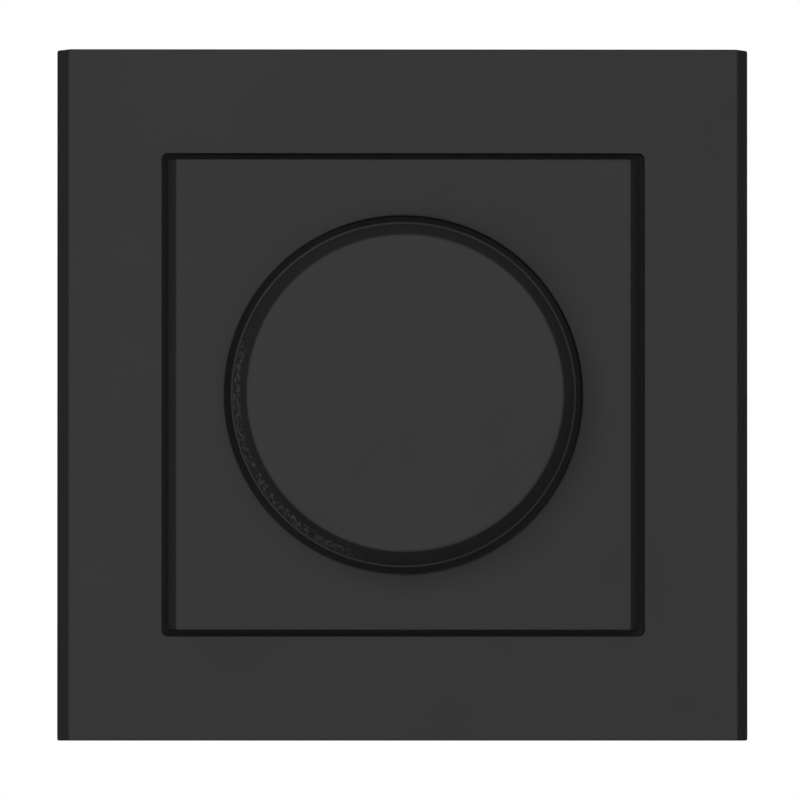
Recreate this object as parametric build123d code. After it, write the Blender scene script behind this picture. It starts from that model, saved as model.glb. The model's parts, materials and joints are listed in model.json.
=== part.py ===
from build123d import *
import os
from math import cos, radians, sin

# Wall dimmer: a square cover frame and centre plate with a round push-and-turn knob in front of the
# wall, and a flush insert behind it with a support plate, spreading claws, a potentiometer with a
# push switch, a circuit board and screw terminals.
#
# Every piece is modelled in wall coordinates, in millimetres: x to the right, y up and z out of the
# wall into the room, with z = 0 on the wall's surface. At the end each piece is stood upright, so
# that the room lies towards -Y and +Z points up.

# Cover frame
FRAME_SIZE = 80.5
FRAME_DEPTH = 9.6
FRAME_WALL = 1.8
FRAME_FACE = 2.0
FRAME_FLANK_RUN = 1.3
FRAME_FLANK_DEPTH = 4.4
OPENING_SIZE = 56.3
OPENING_CORNER = 0.75
COLLAR_WALL = 1.4
LEDGE_WIDTH = 1.8
LEDGE_THICKNESS = 1.4
FRAME_RIB_WALL = 1.2
FRAME_RIB_SPACING = 36.0
EDGE_ROUND = 0.25

# Centre plate
PLATE_GAP = 0.75
PLATE_HEIGHT = 6.4
PLATE_WALL = 1.5
PLATE_FACE = 1.8
PLATE_FLANK_RUN = 0.95
PLATE_FLANK_DEPTH = 3.2
WELL_RADIUS = 20.85
WELL_WALL = 1.4
WELL_FLOOR = 1.6
PEG_RADIUS = 1.2
PEG_LENGTH = 1.4
PEG_SPACING = 28.0

# Knob
KNOB_HEIGHT = 11.0
KNOB_SKIRT_GAP = 0.75
KNOB_LEDGE_WIDTH = 0.22
KNOB_TAPER = 1.48
KNOB_LEDGE_DROP = 0.3
KNOB_WALL = 1.5
KNOB_TOP_WALL = 1.8
KNOB_TOP_ROUND = 0.4
KNOB_RIB_WALL = 1.0
KNOB_RIBS = 6
KNOB_RIB_DROP = 5.0
HUB_WALL = 2.2
PUSH_TRAVEL = 1.8
PUSH_ROOM = 0.7
TURN_RANGE = 300.0

# Shaft, bushing and fixing nut
SHAFT_RADIUS = 3.0
SHAFT_FLAT_DEPTH = 1.2
SHAFT_END_GAP = 0.1
RUNNING_GAP = 0.05
LEAF_THICKNESS = 0.4
LEAF_WIDTH = 3.6
LEAF_LENGTH = 7.0
BUSH_RADIUS = 5.0
BUSH_FLANGE = 1.2
BUSH_END = 0.4
NUT_FLATS = 14.0
NUT_HEIGHT = 2.0
CLIP_THICKNESS = 0.6
CLIP_RADIUS = 4.6
CLIP_GROOVE = 0.6
CLIP_MOUTH = 4.2

# Potentiometer
POT_RADIUS = 8.0
POT_RIM = 0.2
POT_WALL = 1.0
POT_FLOOR = 1.0
ROTOR_THICKNESS = 1.4
ROTOR_ROOM = 0.3
STOP_REACH = 1.1
STOP_LUG_ANGLE = 20.0
STOP_SLACK_ANGLE = 1.0
WIPER_THICKNESS = 0.4
WIPER_GAP = 0.1
WIPER_INSET = 0.4
WIPER_WIDTH = 1.6
WIPER_ANGLE = 80.0
TRACK_THICKNESS = 1.0
TRACK_TONGUE_WIDTH = 11.0
TRACK_PIN_PITCH = 4.4
TRACK_PIN_GAP = 0.5
TRACK_PIN_EDGE = 0.4

# Push switch
SWITCH_SIZE = 15.0
SWITCH_WALL = 1.2
PLUNGER_SIZE = 9.0
PLUNGER_FLANGE = 1.4
PLUNGER_STUB = 0.4
PLUNGER_STUB_RADIUS = 2.8
PLUNGER_PEG_RADIUS = 1.6
PLUNGER_PEG = 1.2
SPRING_RADIUS = 2.4
SPRING_WIRE_WIDTH = 0.6
SPRING_WIRE_HEIGHT = 0.4
SPRING_LENGTH = 4.8
SPRING_TURNS = 3
BRIDGE_THICKNESS = 0.4
BRIDGE_LENGTH = 11.0
BRIDGE_WIDTH = 1.0
BRIDGE_HEIGHT = 3.9
BLADE_WIDTH = 1.6
BLADE_SPACING = 8.8

# Front cover, support plate and rear housing
SUPPORT_GAP = 1.6
SUPPORT_THICKNESS = 1.2
SUPPORT_CORNER = 9.0
COVER_SIZE = 46.0
COVER_DEPTH = 3.8
COVER_WALL = 1.6
COVER_CORNER = 4.0
HOUSING_WIDTH = 49.0
HOUSING_HEIGHT = 46.0
HOUSING_CORNER = 12.0
HOUSING_DEPTH = 24.0
HOUSING_WALL = 1.5
HOUSING_EDGE = 0.8
HOUSING_LIP = 0.8
HOUSING_LIP_DEPTH = 2.0
STRIP_GAUGE_LENGTH = 10.0
STRIP_GAUGE_WIDTH = 1.8
STRIP_GAUGE_DEPTH = 0.5
STRIP_GAUGE_GAP = 3.0
VENT_WIDTH = 1.4
VENT_LENGTH = 11.0
VENT_PITCH = 5.0
VENTS = 5
VENT_HEIGHT = 10.0
BOX_SCREW_SPACING = 60.0
BOX_SLOT_WIDTH = 3.5
BOX_SLOT_LENGTH = 5.0
BEAD_SPACING = 30.0
BEAD_LENGTH = 16.0
BEAD_WIDTH = 3.0
BEAD_HEIGHT = 0.5
BEAD_SLOPE = 30.0

# Housing screws
CASE_SCREW_INSET = 3.2
CASE_SCREW_SPACING_Y = 24.8
CASE_SCREW_RADIUS = 1.25
CASE_SCREW_LENGTH = 15.0
CASE_HEAD_RADIUS = 2.2
CASE_HEAD = 1.3
CASE_BOSS_WALL = 1.3
CASE_HEAD_WALL = 1.0
BOARD_SEAT_WIDTH = 0.9
HOLE_GAP = 0.2

# Spreading claws, right side; the left side mirrors it
CLAW_PIVOT_X = 21.0
CLAW_PIVOT_DEPTH = 2.6
CLAW_SWING = 22.0
CLAW_WIDTH = 8.4
CLAW_THICKNESS = 1.4
CLAW_ARM_LENGTH = 18.0
CLAW_ARM_OFFSET = 0.2
CLAW_TOOTH_REACH = 3.0
CLAW_TEETH = 3
CLAW_LEG_LENGTH = 7.2
KNUCKLE_WALL = 0.8
HINGE_PIN_RADIUS = 1.0
HINGE_PIN_HEAD = 0.6
EAR_THICKNESS = 1.2
EAR_GAP = 0.2
CHANNEL_GAP = 0.25
CLAW_SCREW_ARM = 5.0
CLAW_SCREW_RADIUS = 1.45
CLAW_SCREW_END = 0.15
CLAW_HEAD_RADIUS = 2.5
CLAW_HEAD = 1.8
CLAW_HEAD_EDGE = 0.6
CLAW_NUT_SIZE = 5.0
CLAW_NUT_HEIGHT = 2.0
CLAW_NUT_GAP = 0.1
SLOT_WIDTH = 0.8
SLOT_DEPTH = 0.9

# Circuit board and the parts on it
BOARD_THICKNESS = 1.6
BOARD_GAP = 0.4
WALL_GAP = 0.4
LEAD_SIZE = 0.8
LEAD_HOLE_GAP = 0.15
TRIAC_X = 0.6
TRIAC_WIDTH = 10.0
TRIAC_BODY_LENGTH = 9.2
TRIAC_BODY_THICKNESS = 4.5
TRIAC_TAB_LENGTH = 6.4
TRIAC_TAB_THICKNESS = 1.3
TRIAC_HOLE_RADIUS = 1.85
TRIAC_LEAD_PITCH = 2.54
TRIAC_LEAD_REACH = 2.4
PAD_THICKNESS = 0.3
PAD_MARGIN = 0.3
TRIAC_SCREW_RADIUS = 1.45
TRIAC_SCREW_HEAD_RADIUS = 2.7
TRIAC_SCREW_HEAD = 1.7
TRIAC_NUT_FLATS = 5.5
TRIAC_NUT_HEIGHT = 2.2
CHOKE_X = -9.8
CHOKE_CORE_OUTER = 4.6
CHOKE_CORE_INNER = 2.4
CHOKE_CORE_HEIGHT = 5.0
CHOKE_WIRE = 0.7
CAPACITOR_X = 7.0
CAPACITOR_SIZE = (13.0, 7.4, 10.0)
CAPACITOR_LEAD_PITCH = 10.0
TIMING_CAPACITOR_X = 14.6
TIMING_CAPACITOR_SIZE = (3.6, 4.6, 5.4)
TIMING_CAPACITOR_LEAD_PITCH = 2.5
TIMING_CAPACITOR_EDGE = 1.4
CASE_EDGE = 0.5
FUSE_GAP = 0.6
FUSE_LENGTH = 20.0
FUSE_RADIUS = 2.6
FUSE_CAP_LENGTH = 5.0
FUSE_GLASS_RADIUS = 2.3
FUSE_HEIGHT = 4.2
FUSE_CLIP_WALL = 0.5
FUSE_CLIP_LENGTH = 4.4
FUSE_CLIP_MOUTH = 3.6
RESISTORS = 3
RESISTOR_PITCH = 2.2
RESISTOR_RADIUS = 1.0
RESISTOR_LENGTH = 6.4
RESISTOR_LEAD_SPAN = 9.6
DIAC_AT = (-11.6, 0.0)
DIAC_RADIUS = 0.9
DIAC_LENGTH = 4.0
DIAC_LEAD_SPAN = 7.0

# Screw terminals
POLE_PITCH = 8.5
POLES = 3
BLOCK_SIDE_WALL = 1.9
BLOCK_FLOOR = 0.9
BLOCK_REAR_WALL = 1.6
BLOCK_TOP_WALL = 0.8
BLOCK_GAP = 0.1
CHAMBER_WIDTH = 6.0
CAGE_GAP = 0.3
CAGE_WALL = 0.9
CAGE_FOOT = 1.6
CAGE_TRAVEL = 2.0
WIRE_RADIUS = 1.6
WIRE_ROOM = 0.1
BAR_THICKNESS = 1.0
BAR_ROOM = 1.0
BAR_WIDTH = 3.2
BAR_PIN = 1.0
TERMINAL_SCREW_RADIUS = 1.45
TERMINAL_HEAD_RADIUS = 2.0
TERMINAL_HEAD = 1.9
ACCESS_RADIUS = 1.7
ACCESS_WALL = 0.7
THREAD_GAP = 0.05

# Levels in front of the wall
COVER_FRONT = SUPPORT_THICKNESS + COVER_DEPTH
WELL_BOTTOM = COVER_FRONT + WELL_FLOOR
PLATE_FRONT = COVER_FRONT + PLATE_HEIGHT
BUSH_FRONT = WELL_BOTTOM + NUT_HEIGHT + BUSH_END
SKIRT_BOTTOM = WELL_BOTTOM + PUSH_TRAVEL + PUSH_ROOM
HUB_BOTTOM = BUSH_FRONT + PUSH_TRAVEL + PUSH_ROOM
KNOB_TOP = PLATE_FRONT + KNOB_HEIGHT
SHAFT_FRONT = KNOB_TOP - KNOB_TOP_WALL - SHAFT_END_GAP

# Levels of the potentiometer, the switch and the board, from front to back
FLANGE_FRONT = COVER_FRONT - COVER_WALL
FLANGE_BACK = FLANGE_FRONT - BUSH_FLANGE
CLIP_FRONT = FLANGE_BACK - RUNNING_GAP
CLIP_BACK = CLIP_FRONT - CLIP_THICKNESS
ROTOR_FRONT = CLIP_BACK - PUSH_TRAVEL - ROTOR_ROOM
ROTOR_BACK = ROTOR_FRONT - ROTOR_THICKNESS
WIPER_BACK = ROTOR_BACK - WIPER_THICKNESS
TRACK_FRONT = WIPER_BACK - WIPER_GAP
TRACK_BACK = TRACK_FRONT - TRACK_THICKNESS
POT_BACK = TRACK_BACK - POT_FLOOR
SWITCH_INNER_FRONT = POT_BACK - SWITCH_WALL
PLUNGER_FRONT = SWITCH_INNER_FRONT - RUNNING_GAP
SHAFT_TAIL = PLUNGER_FRONT + PLUNGER_STUB
PLUNGER_BACK = PLUNGER_FRONT - PLUNGER_FLANGE
BRIDGE_BACK = PLUNGER_BACK - BRIDGE_THICKNESS
BLADE_FRONT = BRIDGE_BACK - PUSH_TRAVEL - WIPER_GAP
SWITCH_INNER_BACK = PLUNGER_BACK - SPRING_LENGTH
BOARD_FRONT = SWITCH_INNER_BACK - SWITCH_WALL
BOARD_BACK = BOARD_FRONT - BOARD_THICKNESS

# Sizes that follow from the driving ones
SUPPORT_SIZE = FRAME_SIZE - 2 * (FRAME_WALL + SUPPORT_GAP)
PLATE_SIZE = OPENING_SIZE - 2 * PLATE_GAP
KNOB_SKIRT_RADIUS = WELL_RADIUS - KNOB_SKIRT_GAP
KNOB_FOOT_RADIUS = KNOB_SKIRT_RADIUS - KNOB_LEDGE_WIDTH
KNOB_TOP_RADIUS = KNOB_FOOT_RADIUS - KNOB_TAPER
KNOB_LEDGE = PLATE_FRONT - KNOB_LEDGE_DROP
HUB_RADIUS = SHAFT_RADIUS + HUB_WALL
SHAFT_FLAT = SHAFT_RADIUS - SHAFT_FLAT_DEPTH
BUSH_FLANGE_RADIUS = POT_RADIUS - POT_RIM
ROTOR_RADIUS = POT_RADIUS - POT_WALL - STOP_REACH
WIPER_OUTER = ROTOR_RADIUS - WIPER_INSET
WIPER_INNER = WIPER_OUTER - WIPER_WIDTH
TRACK_PIN_Y = -SWITCH_SIZE / 2 - TRACK_PIN_GAP - LEAD_SIZE / 2
CLAW_SCREW_X = CLAW_PIVOT_X + CLAW_SCREW_ARM
KNUCKLE_RADIUS = HINGE_PIN_RADIUS + KNUCKLE_WALL
CHANNEL_X = CLAW_PIVOT_X - KNUCKLE_RADIUS - CHANNEL_GAP
CHANNEL_HALF = CLAW_WIDTH / 2 + EAR_GAP + EAR_THICKNESS + HINGE_PIN_HEAD + EAR_GAP
CASE_SCREW_X = COVER_SIZE / 2 - CASE_SCREW_INSET
CASE_SCREW_Y = CASE_SCREW_SPACING_Y / 2
CASE_SCREWS = [(x * CASE_SCREW_X, y * CASE_SCREW_Y) for x in (-1, 1) for y in (-1, 1)]
CASE_BOSS_RADIUS = CASE_SCREW_RADIUS + RUNNING_GAP + CASE_BOSS_WALL
POLE_XS = [(i - (POLES - 1) / 2) * POLE_PITCH for i in range(POLES)]
BLOCK_HALF = POLE_PITCH * (POLES - 1) / 2 + CHAMBER_WIDTH / 2 + BLOCK_SIDE_WALL
BLOCK_BOTTOM = -HOUSING_HEIGHT / 2
TERMINAL_HEAD_BOTTOM = BLOCK_BOTTOM + ACCESS_WALL + CAGE_GAP
TERMINAL_HEAD_TOP = TERMINAL_HEAD_BOTTOM + TERMINAL_HEAD
CAGE_BOTTOM = TERMINAL_HEAD_TOP + CAGE_GAP + CAGE_TRAVEL
CAGE_FOOT_TOP = CAGE_BOTTOM + CAGE_FOOT
BAR_BOTTOM = CAGE_FOOT_TOP + BAR_ROOM
BAR_TOP = BAR_BOTTOM + BAR_THICKNESS
WIRE_HEIGHT = BAR_TOP + WIRE_ROOM + WIRE_RADIUS
CAGE_TOP = WIRE_HEIGHT + WIRE_RADIUS + WIRE_ROOM + CAGE_WALL
BLOCK_TOP = CAGE_TOP + CAGE_GAP + BLOCK_TOP_WALL
CHAMBER_FRONT = BOARD_BACK - BLOCK_FLOOR
CHAMBER_BACK = -HOUSING_DEPTH + BLOCK_REAR_WALL
CAGE_LEVELS = (CHAMBER_BACK + CAGE_GAP, CHAMBER_FRONT - CAGE_GAP)
TERMINAL_SCREW_Z = (CAGE_LEVELS[0] + CAGE_LEVELS[1]) / 2

# Where the larger parts on the board stand, from the housing's walls
ROOF = HOUSING_HEIGHT / 2 - HOUSING_WALL - WALL_GAP
TRIAC_AT = (TRIAC_X, ROOF - PAD_MARGIN - TRIAC_WIDTH / 2)
TRIAC_LEAD_X = TRIAC_X + TRIAC_BODY_LENGTH / 2 + TRIAC_LEAD_REACH
FUSE_AT = (TRIAC_LEAD_X - LEAD_SIZE / 2 - FUSE_GAP - FUSE_LENGTH / 2, TRIAC_AT[1])
CHOKE_AT = (CHOKE_X, CHOKE_CORE_OUTER + CHOKE_WIRE - ROOF)
CAPACITOR_AT = (CAPACITOR_X, CAPACITOR_SIZE[1] / 2 - ROOF)
TIMING_CAPACITOR_AT = (TIMING_CAPACITOR_X, ROOF - TIMING_CAPACITOR_EDGE - TIMING_CAPACITOR_SIZE[1] / 2)
RESISTOR_LAST_X = CHANNEL_X - HOUSING_WALL - BOARD_GAP - WALL_GAP - RESISTOR_RADIUS
RESISTOR_XS = [RESISTOR_LAST_X - i * RESISTOR_PITCH for i in range(RESISTORS)]


def block(x, y, z):
    """A box between three pairs of low and high values."""
    lows, highs = zip(x, y, z)
    centre = [(low + high) / 2 for low, high in zip(lows, highs)]
    return Pos(*centre) * Box(*[high - low for low, high in zip(lows, highs)])


def about(half, centre=0.0):
    """The pair of values half a width either side of a centre."""
    return centre - half, centre + half


def rod(radius, z, at=(0.0, 0.0)):
    """A round bar along z between two levels."""
    return Pos(at[0], at[1], (z[0] + z[1]) / 2) * Cylinder(radius, z[1] - z[0])


def lead(z, at, gap=0.0):
    """A square lead along z between two levels, or the hole for it with a gap all round."""
    half = LEAD_SIZE / 2 + gap
    return block(about(half, at[0]), about(half, at[1]), z)


def upright_rod(radius, y, x, z):
    """A round bar along y between two heights."""
    return Pos(x, (y[0] + y[1]) / 2, z) * Rot(90, 0, 0) * Cylinder(radius, y[1] - y[0])


def raised(outline, z):
    """A flat outline in the wall's plane, raised between two levels."""
    return Pos(0, 0, z[0]) * extrude(outline, z[1] - z[0])


def turned(*points):
    """A solid of revolution about z from (radius, level) points."""
    return revolve(Plane.XZ * Polygon(*points, align=None), Axis.Z)


def sector(inner, outer, angle, towards, z):
    """A piece of a ring, so many degrees wide, facing a direction in degrees from +x."""
    half = radians(angle / 2)
    far, wide = 2 * outer * cos(half), 2 * outer * sin(half)
    wedge = Polygon((0, 0), (far, -wide), (far, wide), align=None)
    ring = Circle(outer) - Circle(inner)
    return raised(ring & (Rot(0, 0, towards) * wedge), z)


def flanked_block(size, seat, crease, face, run):
    """A square block whose left and right sides lean in from the crease to the face, with its edges eased."""
    half = size / 2
    outline = Polygon(
        (-half, seat), (half, seat), (half, crease), (half - run, face), (run - half, face), (-half, crease),
        align=None,
    )
    body = extrude(Plane.XZ * outline, half, both=True)
    eased = [e for e in body.edges() if e.center().Z > seat and abs(e.center().Z - crease) > EDGE_ROUND]
    return fillet(eased, EDGE_ROUND)


def d_bar(radius, flat, z):
    """A round bar with a flat on its +x side."""
    return rod(radius, z) & block((-radius, flat), about(radius), z)


def cover_frame():
    """The outer frame: a shell open at the back, with a collar and a ledge for the centre plate."""
    inside = FRAME_SIZE - 2 * FRAME_WALL
    cavity_top = FRAME_DEPTH - FRAME_FACE
    ledge_bottom = COVER_FRONT - LEDGE_THICKNESS
    collar = OPENING_SIZE + 2 * COLLAR_WALL
    body = flanked_block(FRAME_SIZE, 0, FRAME_DEPTH - FRAME_FLANK_DEPTH, FRAME_DEPTH, FRAME_FLANK_RUN)
    body -= block(about(inside / 2), about(inside / 2), (0, cavity_top))
    body += block(about(collar / 2), about(collar / 2), (ledge_bottom, cavity_top))
    for side in (-1, 1):
        rib = about(FRAME_RIB_WALL / 2, side * FRAME_RIB_SPACING / 2)
        body += block(rib, about(inside / 2), (ledge_bottom, cavity_top))
        body += block(about(inside / 2), rib, (ledge_bottom, cavity_top))
    body -= raised(RectangleRounded(OPENING_SIZE, OPENING_SIZE, OPENING_CORNER), (COVER_FRONT, FRAME_DEPTH))
    ledge_opening = OPENING_SIZE - 2 * LEDGE_WIDTH
    body -= raised(RectangleRounded(ledge_opening, ledge_opening, OPENING_CORNER), (0, COVER_FRONT))
    cover_room = COVER_SIZE + 2 * HOLE_GAP
    return body - raised(RectangleRounded(cover_room, cover_room, COVER_CORNER), (0, COVER_FRONT))


def centre_plate():
    """The square plate round the knob: a shell with a round well, seated on the frame's ledge."""
    inside = PLATE_SIZE - 2 * PLATE_WALL
    crease = PLATE_FRONT - PLATE_FLANK_DEPTH
    body = flanked_block(PLATE_SIZE, COVER_FRONT, crease, PLATE_FRONT, PLATE_FLANK_RUN)
    body -= block(about(inside / 2), about(inside / 2), (COVER_FRONT, PLATE_FRONT - PLATE_FACE))
    rib = Rectangle(inside * 2**0.5, PLATE_WALL)
    cross = Rot(0, 0, 45) * rib + Rot(0, 0, 135) * rib
    rib_room = PLATE_SIZE - PLATE_WALL
    body += raised(cross & Rectangle(rib_room, rib_room), (WELL_BOTTOM, PLATE_FRONT - PLATE_FACE))
    body += rod(WELL_RADIUS + WELL_WALL, (COVER_FRONT, PLATE_FRONT - PLATE_FACE / 2))
    body -= rod(WELL_RADIUS, (WELL_BOTTOM, PLATE_FRONT))
    circles = body.edges().filter_by(GeomType.CIRCLE)
    rim = [e for e in circles if abs(e.center().Z - PLATE_FRONT) < RUNNING_GAP]
    body = fillet(rim, EDGE_ROUND)
    body -= rod(BUSH_RADIUS + HOLE_GAP, (COVER_FRONT, WELL_BOTTOM))
    for side in (-1, 1):
        body += rod(PEG_RADIUS, (COVER_FRONT - PEG_LENGTH, COVER_FRONT), (side * PEG_SPACING / 2, 0))
    return body


def knob():
    """The turning knob: a tapered cap with a ledge and a skirt in the well, and a ribbed hub."""
    under = KNOB_TOP - KNOB_TOP_WALL
    body = turned(
        (0, KNOB_TOP),
        (KNOB_TOP_RADIUS, KNOB_TOP),
        (KNOB_FOOT_RADIUS, KNOB_LEDGE),
        (KNOB_SKIRT_RADIUS, KNOB_LEDGE),
        (KNOB_SKIRT_RADIUS, SKIRT_BOTTOM),
        (KNOB_FOOT_RADIUS - KNOB_WALL, SKIRT_BOTTOM),
        (KNOB_TOP_RADIUS - KNOB_WALL, under),
        (0, under),
    )
    top_rim = body.edges().filter_by(GeomType.CIRCLE).sort_by(Axis.Z)[-1]
    body = fillet(top_rim, KNOB_TOP_ROUND)
    rib_reach = KNOB_TOP_RADIUS - KNOB_WALL / 2
    for i in range(KNOB_RIBS):
        rib = block((SHAFT_RADIUS, rib_reach), about(KNOB_RIB_WALL / 2), (under - KNOB_RIB_DROP, under))
        body += Rot(0, 0, 30 + i * 360 / KNOB_RIBS) * rib
    body += rod(HUB_RADIUS, (HUB_BOTTOM, under))
    leaf_seat = SHAFT_FLAT + RUNNING_GAP + LEAF_THICKNESS + RUNNING_GAP
    return body - d_bar(SHAFT_RADIUS + RUNNING_GAP, leaf_seat, (HUB_BOTTOM, under))


def knob_leaf():
    """The spring leaf between the knob's hub and the shaft's flat."""
    low = SHAFT_FLAT + RUNNING_GAP
    top = SHAFT_FRONT - SHAFT_END_GAP
    return block((low, low + LEAF_THICKNESS), about(LEAF_WIDTH / 2), (top - LEAF_LENGTH, top))


def knob_shaft():
    """The shaft: a flat for the knob in front, a groove for its retaining clip and a flat for the rotor."""
    body = rod(SHAFT_RADIUS, (SHAFT_TAIL, SHAFT_FRONT))
    past_flat = (SHAFT_FLAT, SHAFT_RADIUS)
    body -= block(past_flat, about(SHAFT_RADIUS), (HUB_BOTTOM, SHAFT_FRONT))
    body -= block(past_flat, about(SHAFT_RADIUS), (SHAFT_TAIL, CLIP_BACK - RUNNING_GAP))
    clip_level = (CLIP_BACK, CLIP_FRONT)
    groove = rod(SHAFT_RADIUS, clip_level) - rod(SHAFT_RADIUS - CLIP_GROOVE, clip_level)
    return body - groove


def shaft_clip():
    """The open retaining ring in the shaft's groove, which stops the shaft at the bushing's flange."""
    level = (CLIP_BACK, CLIP_FRONT)
    inner = SHAFT_RADIUS - CLIP_GROOVE
    ring = rod(CLIP_RADIUS, level) - rod(inner + RUNNING_GAP, level)
    return ring - block((0, CLIP_RADIUS), about(CLIP_MOUTH / 2), level)


def plate_nut():
    """The hexagon nut that clamps the centre plate and the front cover to the bushing."""
    level = (WELL_BOTTOM, WELL_BOTTOM + NUT_HEIGHT)
    outline = RegularPolygon(NUT_FLATS / 2, 6, major_radius=False)
    return raised(outline, level) - rod(BUSH_RADIUS + THREAD_GAP, level)


def bushing():
    """The potentiometer's threaded bushing with its flange behind the front cover."""
    body = rod(BUSH_FLANGE_RADIUS, (FLANGE_BACK, FLANGE_FRONT)) + rod(BUSH_RADIUS, (FLANGE_FRONT, BUSH_FRONT))
    return body - rod(SHAFT_RADIUS + RUNNING_GAP, (FLANGE_BACK, BUSH_FRONT))


def pot_case():
    """The potentiometer's cup, with the stop for the rotor's lug and a slot for the track's tongue."""
    inner = POT_RADIUS - POT_WALL
    body = rod(POT_RADIUS, (POT_BACK, FLANGE_BACK)) - rod(inner, (TRACK_BACK, FLANGE_BACK))
    body -= rod(SHAFT_RADIUS + ROTOR_ROOM, (POT_BACK, TRACK_BACK))
    stop_angle = 360 - TURN_RANGE - STOP_LUG_ANGLE - STOP_SLACK_ANGLE
    body += sector(ROTOR_RADIUS + WIPER_GAP, inner + POT_WALL / 2, stop_angle, -90, (ROTOR_BACK, ROTOR_FRONT))
    slot = about(TRACK_TONGUE_WIDTH / 2 + WIPER_GAP)
    return body - block(slot, (-POT_RADIUS, -POT_RADIUS / 2), (TRACK_BACK, TRACK_FRONT + WIPER_GAP))


def resistor_track():
    """The wafer that carries the resistor track, with a tongue and three pins to the board."""
    level = (TRACK_BACK, TRACK_FRONT)
    body = rod(POT_RADIUS - POT_WALL - RUNNING_GAP, level)
    reach = TRACK_PIN_Y - LEAD_SIZE / 2 - TRACK_PIN_EDGE
    body += block(about(TRACK_TONGUE_WIDTH / 2), (reach, 0), level)
    body -= rod(SHAFT_RADIUS + ROTOR_ROOM, level)
    for x, y in track_pins():
        body += lead((BOARD_BACK, TRACK_BACK), (x, y))
    return body


def track_pins():
    """Where the track's pins stand."""
    return [(i * TRACK_PIN_PITCH, TRACK_PIN_Y) for i in (-1, 0, 1)]


def wiper_rotor():
    """The disc that turns with the shaft and lets it slide, with a lug that meets the case's stop."""
    level = (ROTOR_BACK, ROTOR_FRONT)
    lug_reach = POT_RADIUS - POT_WALL - WIPER_GAP
    body = rod(ROTOR_RADIUS, level) + sector(WIPER_INNER, lug_reach, STOP_LUG_ANGLE, 90, level)
    return body - d_bar(SHAFT_RADIUS + RUNNING_GAP, SHAFT_FLAT + RUNNING_GAP, level)


def wiper_contact():
    """The spring contact on the rotor's back that runs along the track."""
    return sector(WIPER_INNER, WIPER_OUTER, WIPER_ANGLE, -90, (WIPER_BACK, ROTOR_BACK))


def switch_case():
    """The push switch's closed box behind the potentiometer."""
    half = SWITCH_SIZE / 2
    inner = half - SWITCH_WALL
    body = block(about(half), about(half), (BOARD_FRONT, POT_BACK))
    body -= block(about(inner), about(inner), (SWITCH_INNER_BACK, SWITCH_INNER_FRONT))
    body -= rod(SHAFT_RADIUS + ROTOR_ROOM, (SWITCH_INNER_FRONT, POT_BACK))
    for x in blade_xs():
        slot_x = about(BLADE_WIDTH / 2 + RUNNING_GAP, x)
        slot_y = about(BRIDGE_WIDTH / 2 + RUNNING_GAP, BRIDGE_HEIGHT)
        body -= block(slot_x, slot_y, (BOARD_FRONT, SWITCH_INNER_BACK))
    return body


def blade_xs():
    """Where the switch's two fixed blades stand."""
    return -BLADE_SPACING / 2, BLADE_SPACING / 2


def switch_plunger():
    """The sliding plunger that the shaft's tail presses."""
    half = PLUNGER_SIZE / 2
    body = block(about(half), about(half), (PLUNGER_BACK, PLUNGER_FRONT))
    body += rod(PLUNGER_STUB_RADIUS, (PLUNGER_FRONT, SHAFT_TAIL))
    return body + rod(PLUNGER_PEG_RADIUS, (PLUNGER_BACK - PLUNGER_PEG, PLUNGER_BACK))


def switch_spring():
    """The flat-wire coil spring that returns the plunger and the knob."""
    rise = SPRING_LENGTH - SPRING_WIRE_HEIGHT
    path = Helix(rise / SPRING_TURNS, rise, SPRING_RADIUS)
    start = Plane(path @ 0, x_dir=(1, 0, 0), z_dir=path % 0)
    coil = sweep(start * Rectangle(SPRING_WIRE_WIDTH, SPRING_WIRE_HEIGHT), path, is_frenet=True)
    return Pos(0, 0, SWITCH_INNER_BACK + SPRING_WIRE_HEIGHT / 2) * coil


def switch_bridge():
    """The contact strip that moves with the plunger."""
    y = about(BRIDGE_WIDTH / 2, BRIDGE_HEIGHT)
    return block(about(BRIDGE_LENGTH / 2), y, (BRIDGE_BACK, PLUNGER_BACK))


def switch_blades():
    """The two fixed contacts, soldered through the board."""
    y = about(BRIDGE_WIDTH / 2, BRIDGE_HEIGHT)
    return [block(about(BLADE_WIDTH / 2, x), y, (BOARD_BACK, BLADE_FRONT)) for x in blade_xs()]


def front_cover():
    """The insulating cover in front of the support plate, which carries the potentiometer."""
    level = (SUPPORT_THICKNESS, COVER_FRONT)
    inner = COVER_SIZE - 2 * COVER_WALL
    body = raised(RectangleRounded(COVER_SIZE, COVER_SIZE, COVER_CORNER), level)
    inner_corner = COVER_CORNER - COVER_WALL
    body -= raised(RectangleRounded(inner, inner, inner_corner), (SUPPORT_THICKNESS, FLANGE_FRONT))
    for at in CASE_SCREWS:
        column = rod(CASE_HEAD_RADIUS + HOLE_GAP + CASE_HEAD_WALL, level, at)
        body += column & block(about(COVER_SIZE / 2), about(COVER_SIZE / 2), level)
        body -= rod(CASE_HEAD_RADIUS + HOLE_GAP, (COVER_FRONT - CASE_HEAD - HOLE_GAP, COVER_FRONT), at)
        body -= rod(CASE_SCREW_RADIUS + HOLE_GAP, level, at)
    for side in (-1, 1):
        body -= rod(PEG_RADIUS + RUNNING_GAP, level, (side * PEG_SPACING / 2, 0))
        body -= rod(CLAW_HEAD_RADIUS + HOLE_GAP, level, (side * CLAW_SCREW_X, 0))
    return body - rod(BUSH_RADIUS + HOLE_GAP / 2, (FLANGE_FRONT, COVER_FRONT))


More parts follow.
